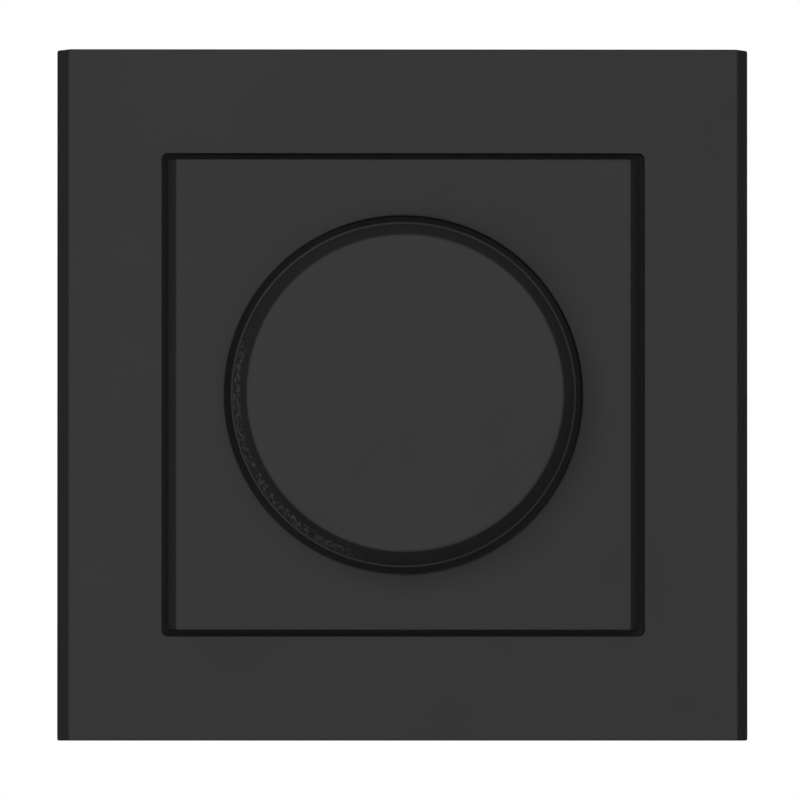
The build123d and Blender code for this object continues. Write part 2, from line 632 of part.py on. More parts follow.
def case_screws():
    """The four screws that clamp the front cover, the support plate and the rear housing together."""
    top = COVER_FRONT - HOLE_GAP
    seat = top - CASE_HEAD
    screws = []
    for at in CASE_SCREWS:
        screw = rod(CASE_HEAD_RADIUS, (seat, top), at)
        screw += rod(CASE_SCREW_RADIUS, (seat - CASE_SCREW_LENGTH, seat), at)
        slot = block(about(CASE_HEAD_RADIUS, at[0]), about(SLOT_WIDTH / 2, at[1]), (top - SLOT_DEPTH, top))
        screws.append(screw - slot)
    return screws


def support_plate():
    """The stamped support plate on the wall, with beads, slots for the box screws and ears for the claws."""
    level = (0, SUPPORT_THICKNESS)
    outline = chamfer(Rectangle(SUPPORT_SIZE, SUPPORT_SIZE).vertices(), SUPPORT_CORNER)
    body = raised(outline, level) - rod(POT_RADIUS + ROTOR_ROOM, level)
    for at in CASE_SCREWS:
        body -= rod(CASE_SCREW_RADIUS + HOLE_GAP, level, at)
    bead = extrude(SlotOverall(BEAD_LENGTH, BEAD_WIDTH), BEAD_HEIGHT, taper=BEAD_SLOPE)
    for side in (-1, 1):
        box_screw_y = side * BOX_SCREW_SPACING / 2
        slot = SlotOverall(BOX_SLOT_LENGTH, BOX_SLOT_WIDTH, rotation=90)
        body -= raised(Pos(0, box_screw_y) * slot, level)
        for x in about(BEAD_SPACING / 2):
            body += Pos(x, box_screw_y, SUPPORT_THICKNESS) * bead
            body -= Pos(x, box_screw_y, 0) * bead
        body -= rod(CLAW_SCREW_RADIUS + HOLE_GAP, level, (side * CLAW_SCREW_X, 0))
    body -= rod(TRIAC_SCREW_RADIUS + HOLE_GAP, level, triac_hole())
    ears = claw_ears()
    window = about(CLAW_WIDTH / 2 + EAR_GAP)
    for side in (-1, 1):
        body -= block(about(KNUCKLE_RADIUS, side * CLAW_PIVOT_X), window, level)
    return body + ears + mirror(ears, Plane.YZ)


def claw_ears():
    """The right-hand pair of ears, folded back from the support plate round the claw's pin."""
    inner = CLAW_WIDTH / 2 + EAR_GAP
    depth = -CLAW_PIVOT_DEPTH
    pair = None
    for low in (inner, -inner - EAR_THICKNESS):
        y = (low, low + EAR_THICKNESS)
        ear = block(about(KNUCKLE_RADIUS, CLAW_PIVOT_X), y, (depth, 0))
        ear += upright_rod(KNUCKLE_RADIUS, y, CLAW_PIVOT_X, depth)
        ear -= upright_rod(HINGE_PIN_RADIUS + RUNNING_GAP / 2, y, CLAW_PIVOT_X, depth)
        pair = ear if pair is None else pair + ear
    return pair


def claw():
    """The right-hand claw: a toothed arm beside the housing and a forked leg round the claw screw."""
    width = CLAW_WIDTH / 2
    x, z = CLAW_PIVOT_X, -CLAW_PIVOT_DEPTH
    arm_in = x + CLAW_ARM_OFFSET - CLAW_THICKNESS / 2
    arm_out = x + CLAW_ARM_OFFSET + CLAW_THICKNESS / 2
    end = z - CLAW_ARM_LENGTH
    bend = end + CLAW_TOOTH_REACH / 2
    arm = Polygon(
        (arm_in, z),
        (arm_in, bend),
        (arm_in + CLAW_TOOTH_REACH, end),
        (arm_out + CLAW_TOOTH_REACH, end + CLAW_THICKNESS),
        (arm_out, bend + CLAW_THICKNESS / 2),
        (arm_out, z),
        align=None,
    )
    leg = Pos(CLAW_LEG_LENGTH / 2, 0) * Rectangle(CLAW_LEG_LENGTH, CLAW_THICKNESS)
    leg = Pos(x, z) * Rot(0, 0, -CLAW_SWING) * leg
    knuckle = Pos(x, z) * (Circle(KNUCKLE_RADIUS) - Circle(HINGE_PIN_RADIUS + RUNNING_GAP))
    bore = Pos(x, z) * Circle(HINGE_PIN_RADIUS + RUNNING_GAP)
    body = extrude(Plane.XZ * (arm + leg + knuckle - bore), width, both=True)
    fork_start = x + KNUCKLE_RADIUS + EAR_GAP
    fork = about(CLAW_SCREW_RADIUS + HOLE_GAP)
    body -= block((fork_start, x + 2 * CLAW_LEG_LENGTH), fork, (z - CLAW_LEG_LENGTH, z + CLAW_THICKNESS))
    pitch = CLAW_WIDTH / CLAW_TEETH
    for i in range(CLAW_TEETH + 1):
        notch = Pos(arm_out + CLAW_TOOTH_REACH, i * pitch - width, end) * Rot(0, 0, 45)
        side = pitch / 2**0.5
        body -= notch * Box(side, side, 4 * CLAW_THICKNESS)
    return body


def claw_pins():
    """The two riveted pins on which the claws swing."""
    ear_outside = CLAW_WIDTH / 2 + EAR_GAP + EAR_THICKNESS
    pins = []
    for side in (-1, 1):
        at = (side * CLAW_PIVOT_X, -CLAW_PIVOT_DEPTH)
        pin = upright_rod(HINGE_PIN_RADIUS, about(ear_outside), *at)
        for low in (-ear_outside - HINGE_PIN_HEAD, ear_outside):
            pin += upright_rod(HINGE_PIN_RADIUS + HINGE_PIN_HEAD / 2, (low, low + HINGE_PIN_HEAD), *at)
        pins.append(pin)
    return pins


def claw_nut_front():
    """The level of the claw nut's front face at rest, just behind the end of the leg."""
    swing = radians(CLAW_SWING)
    return -CLAW_PIVOT_DEPTH - CLAW_LEG_LENGTH * sin(swing) - CLAW_THICKNESS / 2 * cos(swing) - CLAW_NUT_GAP


def claw_nut():
    """The right-hand square nut, which the claw screw draws forward against the leg."""
    level = (claw_nut_front() - CLAW_NUT_HEIGHT, claw_nut_front())
    outline = Pos(CLAW_SCREW_X, 0) * Rectangle(CLAW_NUT_SIZE, CLAW_NUT_SIZE)
    return raised(outline, level) - rod(CLAW_SCREW_RADIUS + THREAD_GAP, level, (CLAW_SCREW_X, 0))


def claw_screw():
    """The right-hand claw screw, with a slotted pan head on the support plate."""
    at = (CLAW_SCREW_X, 0)
    top = SUPPORT_THICKNESS + CLAW_HEAD
    end = claw_nut_front() - CLAW_NUT_HEIGHT - CLAW_SCREW_END
    head = rod(CLAW_HEAD_RADIUS, (SUPPORT_THICKNESS, top), at)
    head = chamfer(head.edges().sort_by(Axis.Z)[-1], CLAW_HEAD_EDGE)
    head -= block(about(CLAW_HEAD_RADIUS, at[0]), about(SLOT_WIDTH / 2), (top - SLOT_DEPTH, top))
    return head + rod(CLAW_SCREW_RADIUS, (end, SUPPORT_THICKNESS), at)


def housing_outline(inset, lip=0.0):
    """The rear housing's outline with a channel for each claw, drawn in by an even distance or with a lip."""
    grown = lip - inset
    outline = RectangleRounded(HOUSING_WIDTH + 2 * grown, HOUSING_HEIGHT + 2 * grown, HOUSING_CORNER + grown)
    depth = HOUSING_WIDTH / 2 - CHANNEL_X + inset
    for side in (-1, 1):
        channel = Rectangle(2 * depth, 2 * (CHANNEL_HALF + inset))
        outline -= Pos(side * HOUSING_WIDTH / 2, 0) * channel
    return outline


def rear_housing():
    """The insert's rear housing: a lipped cup with screw bosses, vents and a notch for the terminal block."""
    body = raised(housing_outline(0), (-HOUSING_DEPTH, 0))
    body = chamfer(body.faces().sort_by(Axis.Z)[0].edges(), HOUSING_EDGE)
    body += raised(housing_outline(0, HOUSING_LIP), (-HOUSING_LIP_DEPTH, 0))
    body -= raised(housing_outline(HOUSING_WALL), (HOUSING_WALL - HOUSING_DEPTH, 0))
    strip_gauge = Pos(0, BLOCK_TOP + STRIP_GAUGE_GAP) * Rectangle(STRIP_GAUGE_LENGTH, STRIP_GAUGE_WIDTH)
    body -= raised(strip_gauge, (-HOUSING_DEPTH, STRIP_GAUGE_DEPTH - HOUSING_DEPTH))
    inside = raised(housing_outline(0), (HOUSING_WALL / 2 - HOUSING_DEPTH, 0))
    screw_end = COVER_FRONT - HOLE_GAP - CASE_HEAD - CASE_SCREW_LENGTH
    for at in CASE_SCREWS:
        boss = rod(CASE_BOSS_RADIUS, (HOUSING_WALL / 2 - HOUSING_DEPTH, 0), at)
        boss += rod(CASE_BOSS_RADIUS + BOARD_SEAT_WIDTH, (HOUSING_WALL / 2 - HOUSING_DEPTH, BOARD_BACK), at)
        body += boss & inside
        body -= rod(CASE_SCREW_RADIUS + RUNNING_GAP, (screw_end - HOUSING_WALL, 0), at)
    for i in range(VENTS):
        vent = SlotOverall(VENT_LENGTH, VENT_WIDTH, rotation=90)
        at = Pos((i - (VENTS - 1) / 2) * VENT_PITCH, VENT_HEIGHT)
        body -= raised(at * vent, (-HOUSING_DEPTH, HOUSING_WALL - HOUSING_DEPTH))
    notch_y = (BLOCK_BOTTOM, BLOCK_TOP + BLOCK_GAP)
    return body - block(about(BLOCK_HALF + BLOCK_GAP), notch_y, (-HOUSING_DEPTH, BOARD_BACK))


def lead_positions():
    """Where the round leads and square pins pass through the board."""
    at = track_pins() + triac_leads() + choke_leads() + capacitor_leads() + timing_leads()
    return at + resistor_leads() + diac_leads()


def circuit_board():
    """The circuit board, seated on the housing's bosses and drilled for the leads."""
    level = (BOARD_BACK, BOARD_FRONT)
    body = raised(housing_outline(HOUSING_WALL + BOARD_GAP), level)
    for x, y in CASE_SCREWS:
        notch = CASE_BOSS_RADIUS + HOLE_GAP
        edge = HOUSING_WIDTH / 2 if x > 0 else -HOUSING_WIDTH / 2
        body -= rod(notch, level, (x, y)) + block(sorted((x, edge)), about(notch, y), level)
    for at in lead_positions():
        body -= lead(level, at, LEAD_HOLE_GAP)
    for x in blade_xs():
        slot_x = about(BLADE_WIDTH / 2 + LEAD_HOLE_GAP, x)
        body -= block(slot_x, about(BRIDGE_WIDTH / 2 + LEAD_HOLE_GAP, BRIDGE_HEIGHT), level)
    for x in POLE_XS:
        pin = BAR_PIN / 2 + LEAD_HOLE_GAP
        body -= block(about(pin, x), about(pin, (BAR_TOP + BAR_BOTTOM) / 2), level)
    return body


def triac_hole():
    """The centre of the hole in the triac's tab."""
    return TRIAC_AT[0] - TRIAC_BODY_LENGTH / 2 - TRIAC_TAB_LENGTH / 2, TRIAC_AT[1]


def triac_leads():
    """Where the triac's three leads enter the board."""
    return [(TRIAC_LEAD_X, TRIAC_AT[1] + i * TRIAC_LEAD_PITCH) for i in (-1, 0, 1)]


def triac():
    """The triac: a moulded body on a metal tab, with three leads bent back to the board."""
    front = -PAD_THICKNESS
    x0 = TRIAC_AT[0] - TRIAC_BODY_LENGTH / 2
    x1 = TRIAC_AT[0] + TRIAC_BODY_LENGTH / 2
    y = about(TRIAC_WIDTH / 2, TRIAC_AT[1])
    body = block((x0 - TRIAC_TAB_LENGTH, x1), y, (front - TRIAC_TAB_THICKNESS, front))
    body -= rod(TRIAC_HOLE_RADIUS, (front - TRIAC_TAB_THICKNESS, front), triac_hole())
    body += block((x0, x1), y, (front - TRIAC_BODY_THICKNESS, front))
    lead_z = front - TRIAC_BODY_THICKNESS / 2
    for x, lead_y in triac_leads():
        width = about(LEAD_SIZE / 2, lead_y)
        body += block((x1, x + LEAD_SIZE / 2), width, about(LEAD_SIZE / 2, lead_z))
        body += block(about(LEAD_SIZE / 2, x), width, (BOARD_BACK, lead_z))
    return body


def triac_pad():
    """The insulating pad between the triac's tab and the support plate."""
    x0 = TRIAC_AT[0] - TRIAC_BODY_LENGTH / 2 - TRIAC_TAB_LENGTH - PAD_MARGIN
    x1 = TRIAC_AT[0] + TRIAC_BODY_LENGTH / 2 + PAD_MARGIN
    pad = block((x0, x1), about(TRIAC_WIDTH / 2 + PAD_MARGIN, TRIAC_AT[1]), (-PAD_THICKNESS, 0))
    return pad - rod(TRIAC_SCREW_RADIUS + HOLE_GAP, (-PAD_THICKNESS, 0), triac_hole())


def triac_screw():
    """The screw that clamps the triac to the support plate."""
    end = -PAD_THICKNESS - TRIAC_TAB_THICKNESS - TRIAC_NUT_HEIGHT
    top = SUPPORT_THICKNESS + TRIAC_SCREW_HEAD
    screw = rod(TRIAC_SCREW_HEAD_RADIUS, (SUPPORT_THICKNESS, top), triac_hole())
    return screw + rod(TRIAC_SCREW_RADIUS, (end, SUPPORT_THICKNESS), triac_hole())


def triac_nut():
    """The hexagon nut behind the triac's tab."""
    back = -PAD_THICKNESS - TRIAC_TAB_THICKNESS
    outline = Pos(*triac_hole()) * RegularPolygon(TRIAC_NUT_FLATS / 2, 6, major_radius=False)
    level = (back - TRIAC_NUT_HEIGHT, back)
    return raised(outline, level) - rod(TRIAC_SCREW_RADIUS + THREAD_GAP, level, triac_hole())


def choke_leads():
    """Where the choke's two leads enter the board."""
    reach = (CHOKE_CORE_OUTER + CHOKE_CORE_INNER) / 2
    return [(CHOKE_AT[0] + side * reach, CHOKE_AT[1]) for side in (-1, 1)]


def choke_core():
    """The ferrite ring of the interference choke."""
    low = BOARD_FRONT + CHOKE_WIRE
    level = (low, low + CHOKE_CORE_HEIGHT)
    return rod(CHOKE_CORE_OUTER, level, CHOKE_AT) - rod(CHOKE_CORE_INNER, level, CHOKE_AT)


def choke_winding():
    """The wire wound round the ferrite ring, as one sleeve, with its two leads."""
    top = BOARD_FRONT + CHOKE_CORE_HEIGHT + 2 * CHOKE_WIRE
    level = (BOARD_FRONT, top)
    ring = rod(CHOKE_CORE_OUTER + CHOKE_WIRE, level, CHOKE_AT)
    ring -= rod(CHOKE_CORE_INNER - CHOKE_WIRE, level, CHOKE_AT)
    ring = chamfer(ring.edges().filter_by(GeomType.CIRCLE), CHOKE_WIRE / 2)
    sleeve = ring - choke_core()
    for at in choke_leads():
        sleeve += lead((BOARD_BACK, BOARD_FRONT + CHOKE_WIRE / 2), at)
    return sleeve


def boxed_capacitor(at, size, leads):
    """A box-shaped film capacitor standing on the board with its two leads."""
    x = about(size[0] / 2, at[0])
    y = about(size[1] / 2, at[1])
    body = block(x, y, (BOARD_FRONT, BOARD_FRONT + size[2]))
    body = chamfer([e for e in body.edges() if e.center().Z > BOARD_FRONT], CASE_EDGE)
    for place in leads:
        body += lead((BOARD_BACK, BOARD_FRONT), place)
    return body


def capacitor_leads():
    """Where the suppression capacitor's leads enter the board."""
    return [(CAPACITOR_AT[0] + side * CAPACITOR_LEAD_PITCH / 2, CAPACITOR_AT[1]) for side in (-1, 1)]


def timing_leads():
    """Where the timing capacitor's leads enter the board."""
    x, y = TIMING_CAPACITOR_AT
    return [(x, y + side * TIMING_CAPACITOR_LEAD_PITCH / 2) for side in (-1, 1)]


def axial_part(x, y, radius, length, lead_span):
    """A round part lying along y on the board, with a lead bent down at each end."""
    level = BOARD_FRONT + radius
    body = upright_rod(radius, about(length / 2, y), x, level)
    thick = LEAD_SIZE / 2
    body += block(about(thick, x), about(lead_span / 2 + thick, y), about(thick, level))
    for side in (-1, 1):
        body += lead((BOARD_BACK, level), (x, y + side * lead_span / 2))
    return body


def resistor_leads():
    """Where the resistors' leads enter the board."""
    return [(x, side * RESISTOR_LEAD_SPAN / 2) for x in RESISTOR_XS for side in (-1, 1)]


def diac_leads():
    """Where the diac's leads enter the board."""
    return [(DIAC_AT[0], DIAC_AT[1] + side * DIAC_LEAD_SPAN / 2) for side in (-1, 1)]


def resistors():
    """The three resistors beside the switch."""
    return [axial_part(x, 0, RESISTOR_RADIUS, RESISTOR_LENGTH, RESISTOR_LEAD_SPAN) for x in RESISTOR_XS]


def fuse_level():
    """The level of the fuse's axis above the board."""
    return BOARD_FRONT + FUSE_HEIGHT


def lying_rod(radius, x, at):
    """A round bar along x at the fuse's level."""
    return Pos((x[0] + x[1]) / 2, at[1], fuse_level()) * Rot(0, 90, 0) * Cylinder(radius, x[1] - x[0])


def fuse():
    """The glass fuse with a metal cap at each end."""
    left, right = about(FUSE_LENGTH / 2, FUSE_AT[0])
    body = lying_rod(FUSE_GLASS_RADIUS, (left, right), FUSE_AT)
    for x in ((left, left + FUSE_CAP_LENGTH), (right - FUSE_CAP_LENGTH, right)):
        body += lying_rod(FUSE_RADIUS, x, FUSE_AT)
    return body


def fuse_clips():
    """The two sprung clips on the board that hold the fuse."""
    outer = FUSE_RADIUS + RUNNING_GAP + FUSE_CLIP_WALL
    clips = []
    for side in (-1, 1):
        centre = FUSE_AT[0] + side * (FUSE_LENGTH - FUSE_CAP_LENGTH) / 2
        x = about(FUSE_CLIP_LENGTH / 2, centre)
        clip = lying_rod(outer, x, FUSE_AT)
        clip += block(x, about(outer / 2, FUSE_AT[1]), (BOARD_FRONT, fuse_level()))
        clip -= lying_rod(FUSE_RADIUS + RUNNING_GAP, x, FUSE_AT)
        mouth = about(FUSE_CLIP_MOUTH / 2, FUSE_AT[1])
        clips.append(clip - block(x, mouth, (fuse_level(), fuse_level() + outer)))
    return clips


def terminal_block():
    """The moulded block of screw terminals, with a chamber, a wire entry and a screw hole at each pole."""
    body = block(about(BLOCK_HALF), (BLOCK_BOTTOM, BLOCK_TOP), (-HOUSING_DEPTH, BOARD_BACK))
    pocket_bottom = BLOCK_BOTTOM + ACCESS_WALL
    bar_middle = (BAR_TOP + BAR_BOTTOM) / 2
    for x in POLE_XS:
        chamber_y = (TERMINAL_HEAD_TOP + CAGE_GAP / 2, BLOCK_TOP - BLOCK_TOP_WALL)
        body -= block(about(CHAMBER_WIDTH / 2, x), chamber_y, (CHAMBER_BACK, CHAMBER_FRONT))
        body -= rod(WIRE_RADIUS, (-HOUSING_DEPTH, CHAMBER_BACK), (x, WIRE_HEIGHT))
        pocket = (pocket_bottom, TERMINAL_HEAD_TOP + CAGE_GAP)
        body -= upright_rod(TERMINAL_HEAD_RADIUS + CAGE_GAP / 2, pocket, x, TERMINAL_SCREW_Z)
        body -= upright_rod(ACCESS_RADIUS, (BLOCK_BOTTOM, pocket_bottom), x, TERMINAL_SCREW_Z)
        pin = about(BAR_PIN / 2 + RUNNING_GAP)
        body -= Pos(x, bar_middle) * block(pin, pin, (CHAMBER_FRONT, BOARD_BACK))
    return body


def terminal_cage(x):
    """One rising cage, whose foot takes the screw and whose roof lifts the wire against the bar."""
    z = CAGE_LEVELS
    half = CHAMBER_WIDTH / 2 - CAGE_GAP
    body = block(about(half, x), (CAGE_BOTTOM, CAGE_TOP), z)
    body -= block(about(half - CAGE_WALL, x), (CAGE_FOOT_TOP, CAGE_TOP - CAGE_WALL), z)
    hole = (CAGE_BOTTOM, CAGE_FOOT_TOP)
    return body - upright_rod(TERMINAL_SCREW_RADIUS + THREAD_GAP, hole, x, TERMINAL_SCREW_Z)


def terminal_screw(x):
    """One terminal screw, with a slotted head facing down and its tip on the contact bar."""
    head = (TERMINAL_HEAD_BOTTOM, TERMINAL_HEAD_TOP)
    body = upright_rod(TERMINAL_HEAD_RADIUS, head, x, TERMINAL_SCREW_Z)
    tip = BAR_BOTTOM - THREAD_GAP
    body += upright_rod(TERMINAL_SCREW_RADIUS, (TERMINAL_HEAD_TOP, tip), x, TERMINAL_SCREW_Z)
    slot_y = (head[0], head[0] + SLOT_DEPTH)
    return body - block(about(TERMINAL_HEAD_RADIUS, x), slot_y, about(SLOT_WIDTH / 2, TERMINAL_SCREW_Z))


def contact_bars():
    """The fixed bar in each cage, with its pin through the board."""
    bars = []
    middle = (BAR_TOP + BAR_BOTTOM) / 2
    for x in POLE_XS:
        bar = block(about(BAR_WIDTH / 2, x), (BAR_BOTTOM, BAR_TOP), (CAGE_LEVELS[0], CHAMBER_FRONT))
        pin = about(BAR_PIN / 2)
        bars.append(bar + Pos(x, middle) * block(pin, pin, (CHAMBER_FRONT, BOARD_FRONT)))
    return bars


def other_side(piece):
    """The left-hand twin of a right-hand piece."""
    return mirror(piece, Plane.YZ)


def all_pieces():
    """Every piece of the dimmer by name, in wall coordinates."""
    pieces = {
        "cover_frame": cover_frame(),
        "centre_plate": centre_plate(),
        "knob": knob(),
        "knob_leaf": knob_leaf(),
        "knob_shaft": knob_shaft(),
        "shaft_clip": shaft_clip(),
        "plate_nut": plate_nut(),
        "bushing": bushing(),
        "pot_case": pot_case(),
        "resistor_track": resistor_track(),
        "wiper_rotor": wiper_rotor(),
        "wiper_contact": wiper_contact(),
        "switch_case": switch_case(),
        "switch_plunger": switch_plunger(),
        "switch_spring": switch_spring(),
        "switch_bridge": switch_bridge(),
        "switch_blades": switch_blades(),
        "front_cover": front_cover(),
        "case_screws": case_screws(),
        "support_plate": support_plate(),
        "claw_pins": claw_pins(),
        "rear_housing": rear_housing(),
        "circuit_board": circuit_board(),
        "triac": triac(),
        "triac_pad": triac_pad(),
        "triac_screw": triac_screw(),
        "triac_nut": triac_nut(),
        "choke_core": choke_core(),
        "choke_winding": choke_winding(),
        "suppression_capacitor": boxed_capacitor(CAPACITOR_AT, CAPACITOR_SIZE, capacitor_leads()),
        "timing_capacitor": boxed_capacitor(TIMING_CAPACITOR_AT, TIMING_CAPACITOR_SIZE, timing_leads()),
        "resistors": resistors(),
        "diac": axial_part(*DIAC_AT, DIAC_RADIUS, DIAC_LENGTH, DIAC_LEAD_SPAN),
        "fuse": fuse(),
        "fuse_clips": fuse_clips(),
        "terminal_block": terminal_block(),
        "contact_bars": contact_bars(),
    }
    for name, make in (("claw", claw), ("claw_nut", claw_nut), ("claw_screw", claw_screw)):
        right = make()
        pieces[name + "_right"] = right
        pieces[name + "_left"] = other_side(right)
    for number, x in enumerate(POLE_XS, start=1):
        pieces[f"terminal_cage_{number}"] = terminal_cage(x)
        pieces[f"terminal_screw_{number}"] = terminal_screw(x)
    return pieces


def main():
    os.makedirs("parts", exist_ok=True)
    upright = Plane.XZ.location
    for name, piece in all_pieces().items():
        solids = piece if isinstance(piece, list) else [piece]
        placed = [solid for part in solids for solid in (upright * part).solids()]
        export_step(placed[0] if len(placed) == 1 else Compound(children=placed), f"parts/{name}.step")


main()
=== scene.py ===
import json
import math

import bpy
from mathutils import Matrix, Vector


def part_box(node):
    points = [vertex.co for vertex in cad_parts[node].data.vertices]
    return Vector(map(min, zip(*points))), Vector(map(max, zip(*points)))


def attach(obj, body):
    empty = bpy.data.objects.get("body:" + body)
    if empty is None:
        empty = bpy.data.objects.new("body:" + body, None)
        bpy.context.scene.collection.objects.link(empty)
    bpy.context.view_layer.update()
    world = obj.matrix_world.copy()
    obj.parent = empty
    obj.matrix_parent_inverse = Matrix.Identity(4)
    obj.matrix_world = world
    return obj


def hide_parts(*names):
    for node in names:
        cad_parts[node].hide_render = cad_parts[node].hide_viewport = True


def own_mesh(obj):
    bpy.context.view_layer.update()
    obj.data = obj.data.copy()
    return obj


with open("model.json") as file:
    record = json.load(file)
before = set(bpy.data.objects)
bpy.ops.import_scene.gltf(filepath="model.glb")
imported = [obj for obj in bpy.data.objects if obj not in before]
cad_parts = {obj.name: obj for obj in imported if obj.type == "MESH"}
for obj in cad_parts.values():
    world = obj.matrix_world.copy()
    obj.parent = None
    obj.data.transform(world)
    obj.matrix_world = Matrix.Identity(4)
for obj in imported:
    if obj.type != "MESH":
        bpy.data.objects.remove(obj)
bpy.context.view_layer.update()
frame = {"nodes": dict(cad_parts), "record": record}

# A wall dimmer in matt black plastic, seen from straight in front in soft studio light. All lengths
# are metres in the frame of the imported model: +X right, +Y into the wall, +Z up.
MM = 0.001
# Points closer than this are one point
MERGE = 0.0005 * MM

# View, with its angles in degrees, and with the sensor in millimetres as a camera's lens is
CAMERA_DISTANCE = 2.4
CAMERA_AZIMUTH = -1.1
CAMERA_ELEVATION = -1.0
SENSOR = 36.0
PICTURE_WIDTH = 93.15 * MM
AIM = Vector((-0.37 * MM, -9.6 * MM, -0.6 * MM))

# Light
KEY_PLACE = Vector((-0.04, -0.5, 0.03))
KEY_SIZE = 0.4
KEY_POWER = 2.6
BACK_PLACE = Vector((0.0, 0.9, 0.4))
BACK_SIZE = 0.6
BACK_POWER = 6.0
AMBIENT = 0.08

# Floor
FLOOR_LEVEL = -0.1
FLOOR_RADIUS = 0.4
FLOOR_SEGMENTS = 96
FLOOR_FADE_START = 0.12
FLOOR_GLOW = 0.82

# Sockets of a Mix node that mixes colours
SHARE = 0
COLOUR_A = 6
COLOUR_B = 7
MIXED = 2

# Dull grey specks on the knob's flank, by the direction from its axis and by the depth from its front
SPECK_DIRECTION = math.radians(206)
SPECK_HALF_WIDTH = math.radians(52)
SPECK_FADE = math.radians(12)
SPECK_FRONT = 6.0 * MM
SPECK_FRONT_FADE = 1.5 * MM
SPECK_BACK = 10.6 * MM
SPECK_BACK_FADE = 0.5 * MM
SPECK_SPOT = 0.5 * MM

# Pieces with two finishes, and how far past the line between them the finish changes
SEAM = 0.05 * MM
TRIAC_TAB = 6.4 * MM
TRIAC_BODY = 9.2 * MM
RESISTOR_BODY = 6.4 * MM
FUSE_CAP = 5.0 * MM
TRACK_INNER = 3.9 * MM
TRACK_OUTER = 5.5 * MM

# Claw screws and terminal screws
THREAD_PITCH = 0.5 * MM
THREAD_DEPTH = 0.28 * MM
THREAD_STEPS = 28
PROFILE_CUTS = 3
SHANK_RADIUS = 1.45 * MM
CLAW_HEAD_HEIGHT = 1.8 * MM
TERMINAL_HEAD_HEIGHT = 1.9 * MM
HEAD_SEGMENTS = 56
HEAD_EDGE = 0.6 * MM
HEAD_EDGE_SEGMENTS = 6
SLOT_WIDTH = 0.8 * MM
SLOT_DEPTH = 0.9 * MM
SCREW_SMOOTHING = math.radians(30)

# Switch spring
SPRING_TURNS = 3
SPRING_STEPS = 32
SPRING_WIRE_RADIUS = 0.25 * MM
SPRING_WIRE_SEGMENTS = 12
SPRING_SMOOTHING = math.radians(40)

# Choke winding
CHOKE_BORE = 2.4 * MM
CHOKE_LAYER = 0.7 * MM
CHOKE_WIRE = 0.66 * MM
CHOKE_WIRE_DETAIL = 3
CHOKE_BEND = 0.4 * MM
CHOKE_BEND_SEGMENTS = 4
CHOKE_TURNS = 18
CHOKE_LEAD_SEGMENTS = 16
CHOKE_SMOOTHING = math.radians(50)


def linear(code):
    """A colour written as sRGB hex, as linear red, green, blue and alpha."""
    channels = [int(code[i:i + 2], 16) / 255 for i in (1, 3, 5)]
    return [c / 12.92 if c <= 0.04045 else ((c + 0.055) / 1.055) ** 2.4 for c in channels] + [1.0]


def wave_scale(period):
    """The scale at which a wave pattern repeats after a length."""
    return math.pi / 10 / period


def join(tree, node, inputs):
    """Sets a node's inputs; each is a value or another node's output."""
    for socket, value in inputs.items():
        if isinstance(value, bpy.types.NodeSocket):
            tree.links.new(value, node.inputs[socket])
        else:
            node.inputs[socket].default_value = value


def add(tree, kind, inputs=None, **settings):
    """Adds a node with its settings and its inputs."""
    node = tree.nodes.new("ShaderNode" + kind)
    for name, value in settings.items():
        setattr(node, name, value)
    join(tree, node, inputs or {})
    return node


def start_material(name, colour, roughness, metallic=0.0, specular=0.5):
    """A new material with its even values, its tree, its surface shader and its place coordinates."""
    material = bpy.data.materials.new(name)
    material.use_nodes = True
    tree = material.node_tree
    shader = tree.nodes["Principled BSDF"]
    shader.inputs["Base Color"].default_value = linear(colour)
    shader.inputs["Roughness"].default_value = roughness
    shader.inputs["Metallic"].default_value = metallic
    shader.inputs["Specular IOR Level"].default_value = specular
    return material, tree, shader, add(tree, "TexCoord").outputs["Object"]


def black_moulding(name):
    """Black thermoplastic from a spark-eroded mould, and its even tone for a pattern to be laid on."""
    material, tree, shader, place = start_material(name, "#383737", 0.85, specular=0.01)
    cloud_size = 14 * MM
    clouds = add(tree, "TexNoise", {"Vector": place, "Scale": 1 / cloud_size, "Detail": 2.0})
    tone = add(tree, "Mix", {
        SHARE: clouds.outputs["Fac"], COLOUR_A: linear("#363535"), COLOUR_B: linear("#3a3939"),
    }, data_type="RGBA")
    # The real grain is about 0.05 mm, drawn five times as coarse so that it shows
    grain_size = 0.25 * MM
    grain = add(tree, "TexNoise", {"Vector": place, "Scale": 1 / grain_size, "Detail": 2.0})
    relief = add(tree, "Bump", {"Height": grain.outputs["Fac"], "Distance": 0.012 * MM, "Strength": 0.5})
    join(tree, shader, {"Base Color": tone.outputs[MIXED], "Normal": relief.outputs["Normal"]})
    return material, tree, shader, place, tone.outputs[MIXED]


def matt_black_moulding():
    """Matt black thermoplastic: near black, with no gloss and a very fine even grain."""
    return black_moulding("matt_black_thermoplastic")[0]


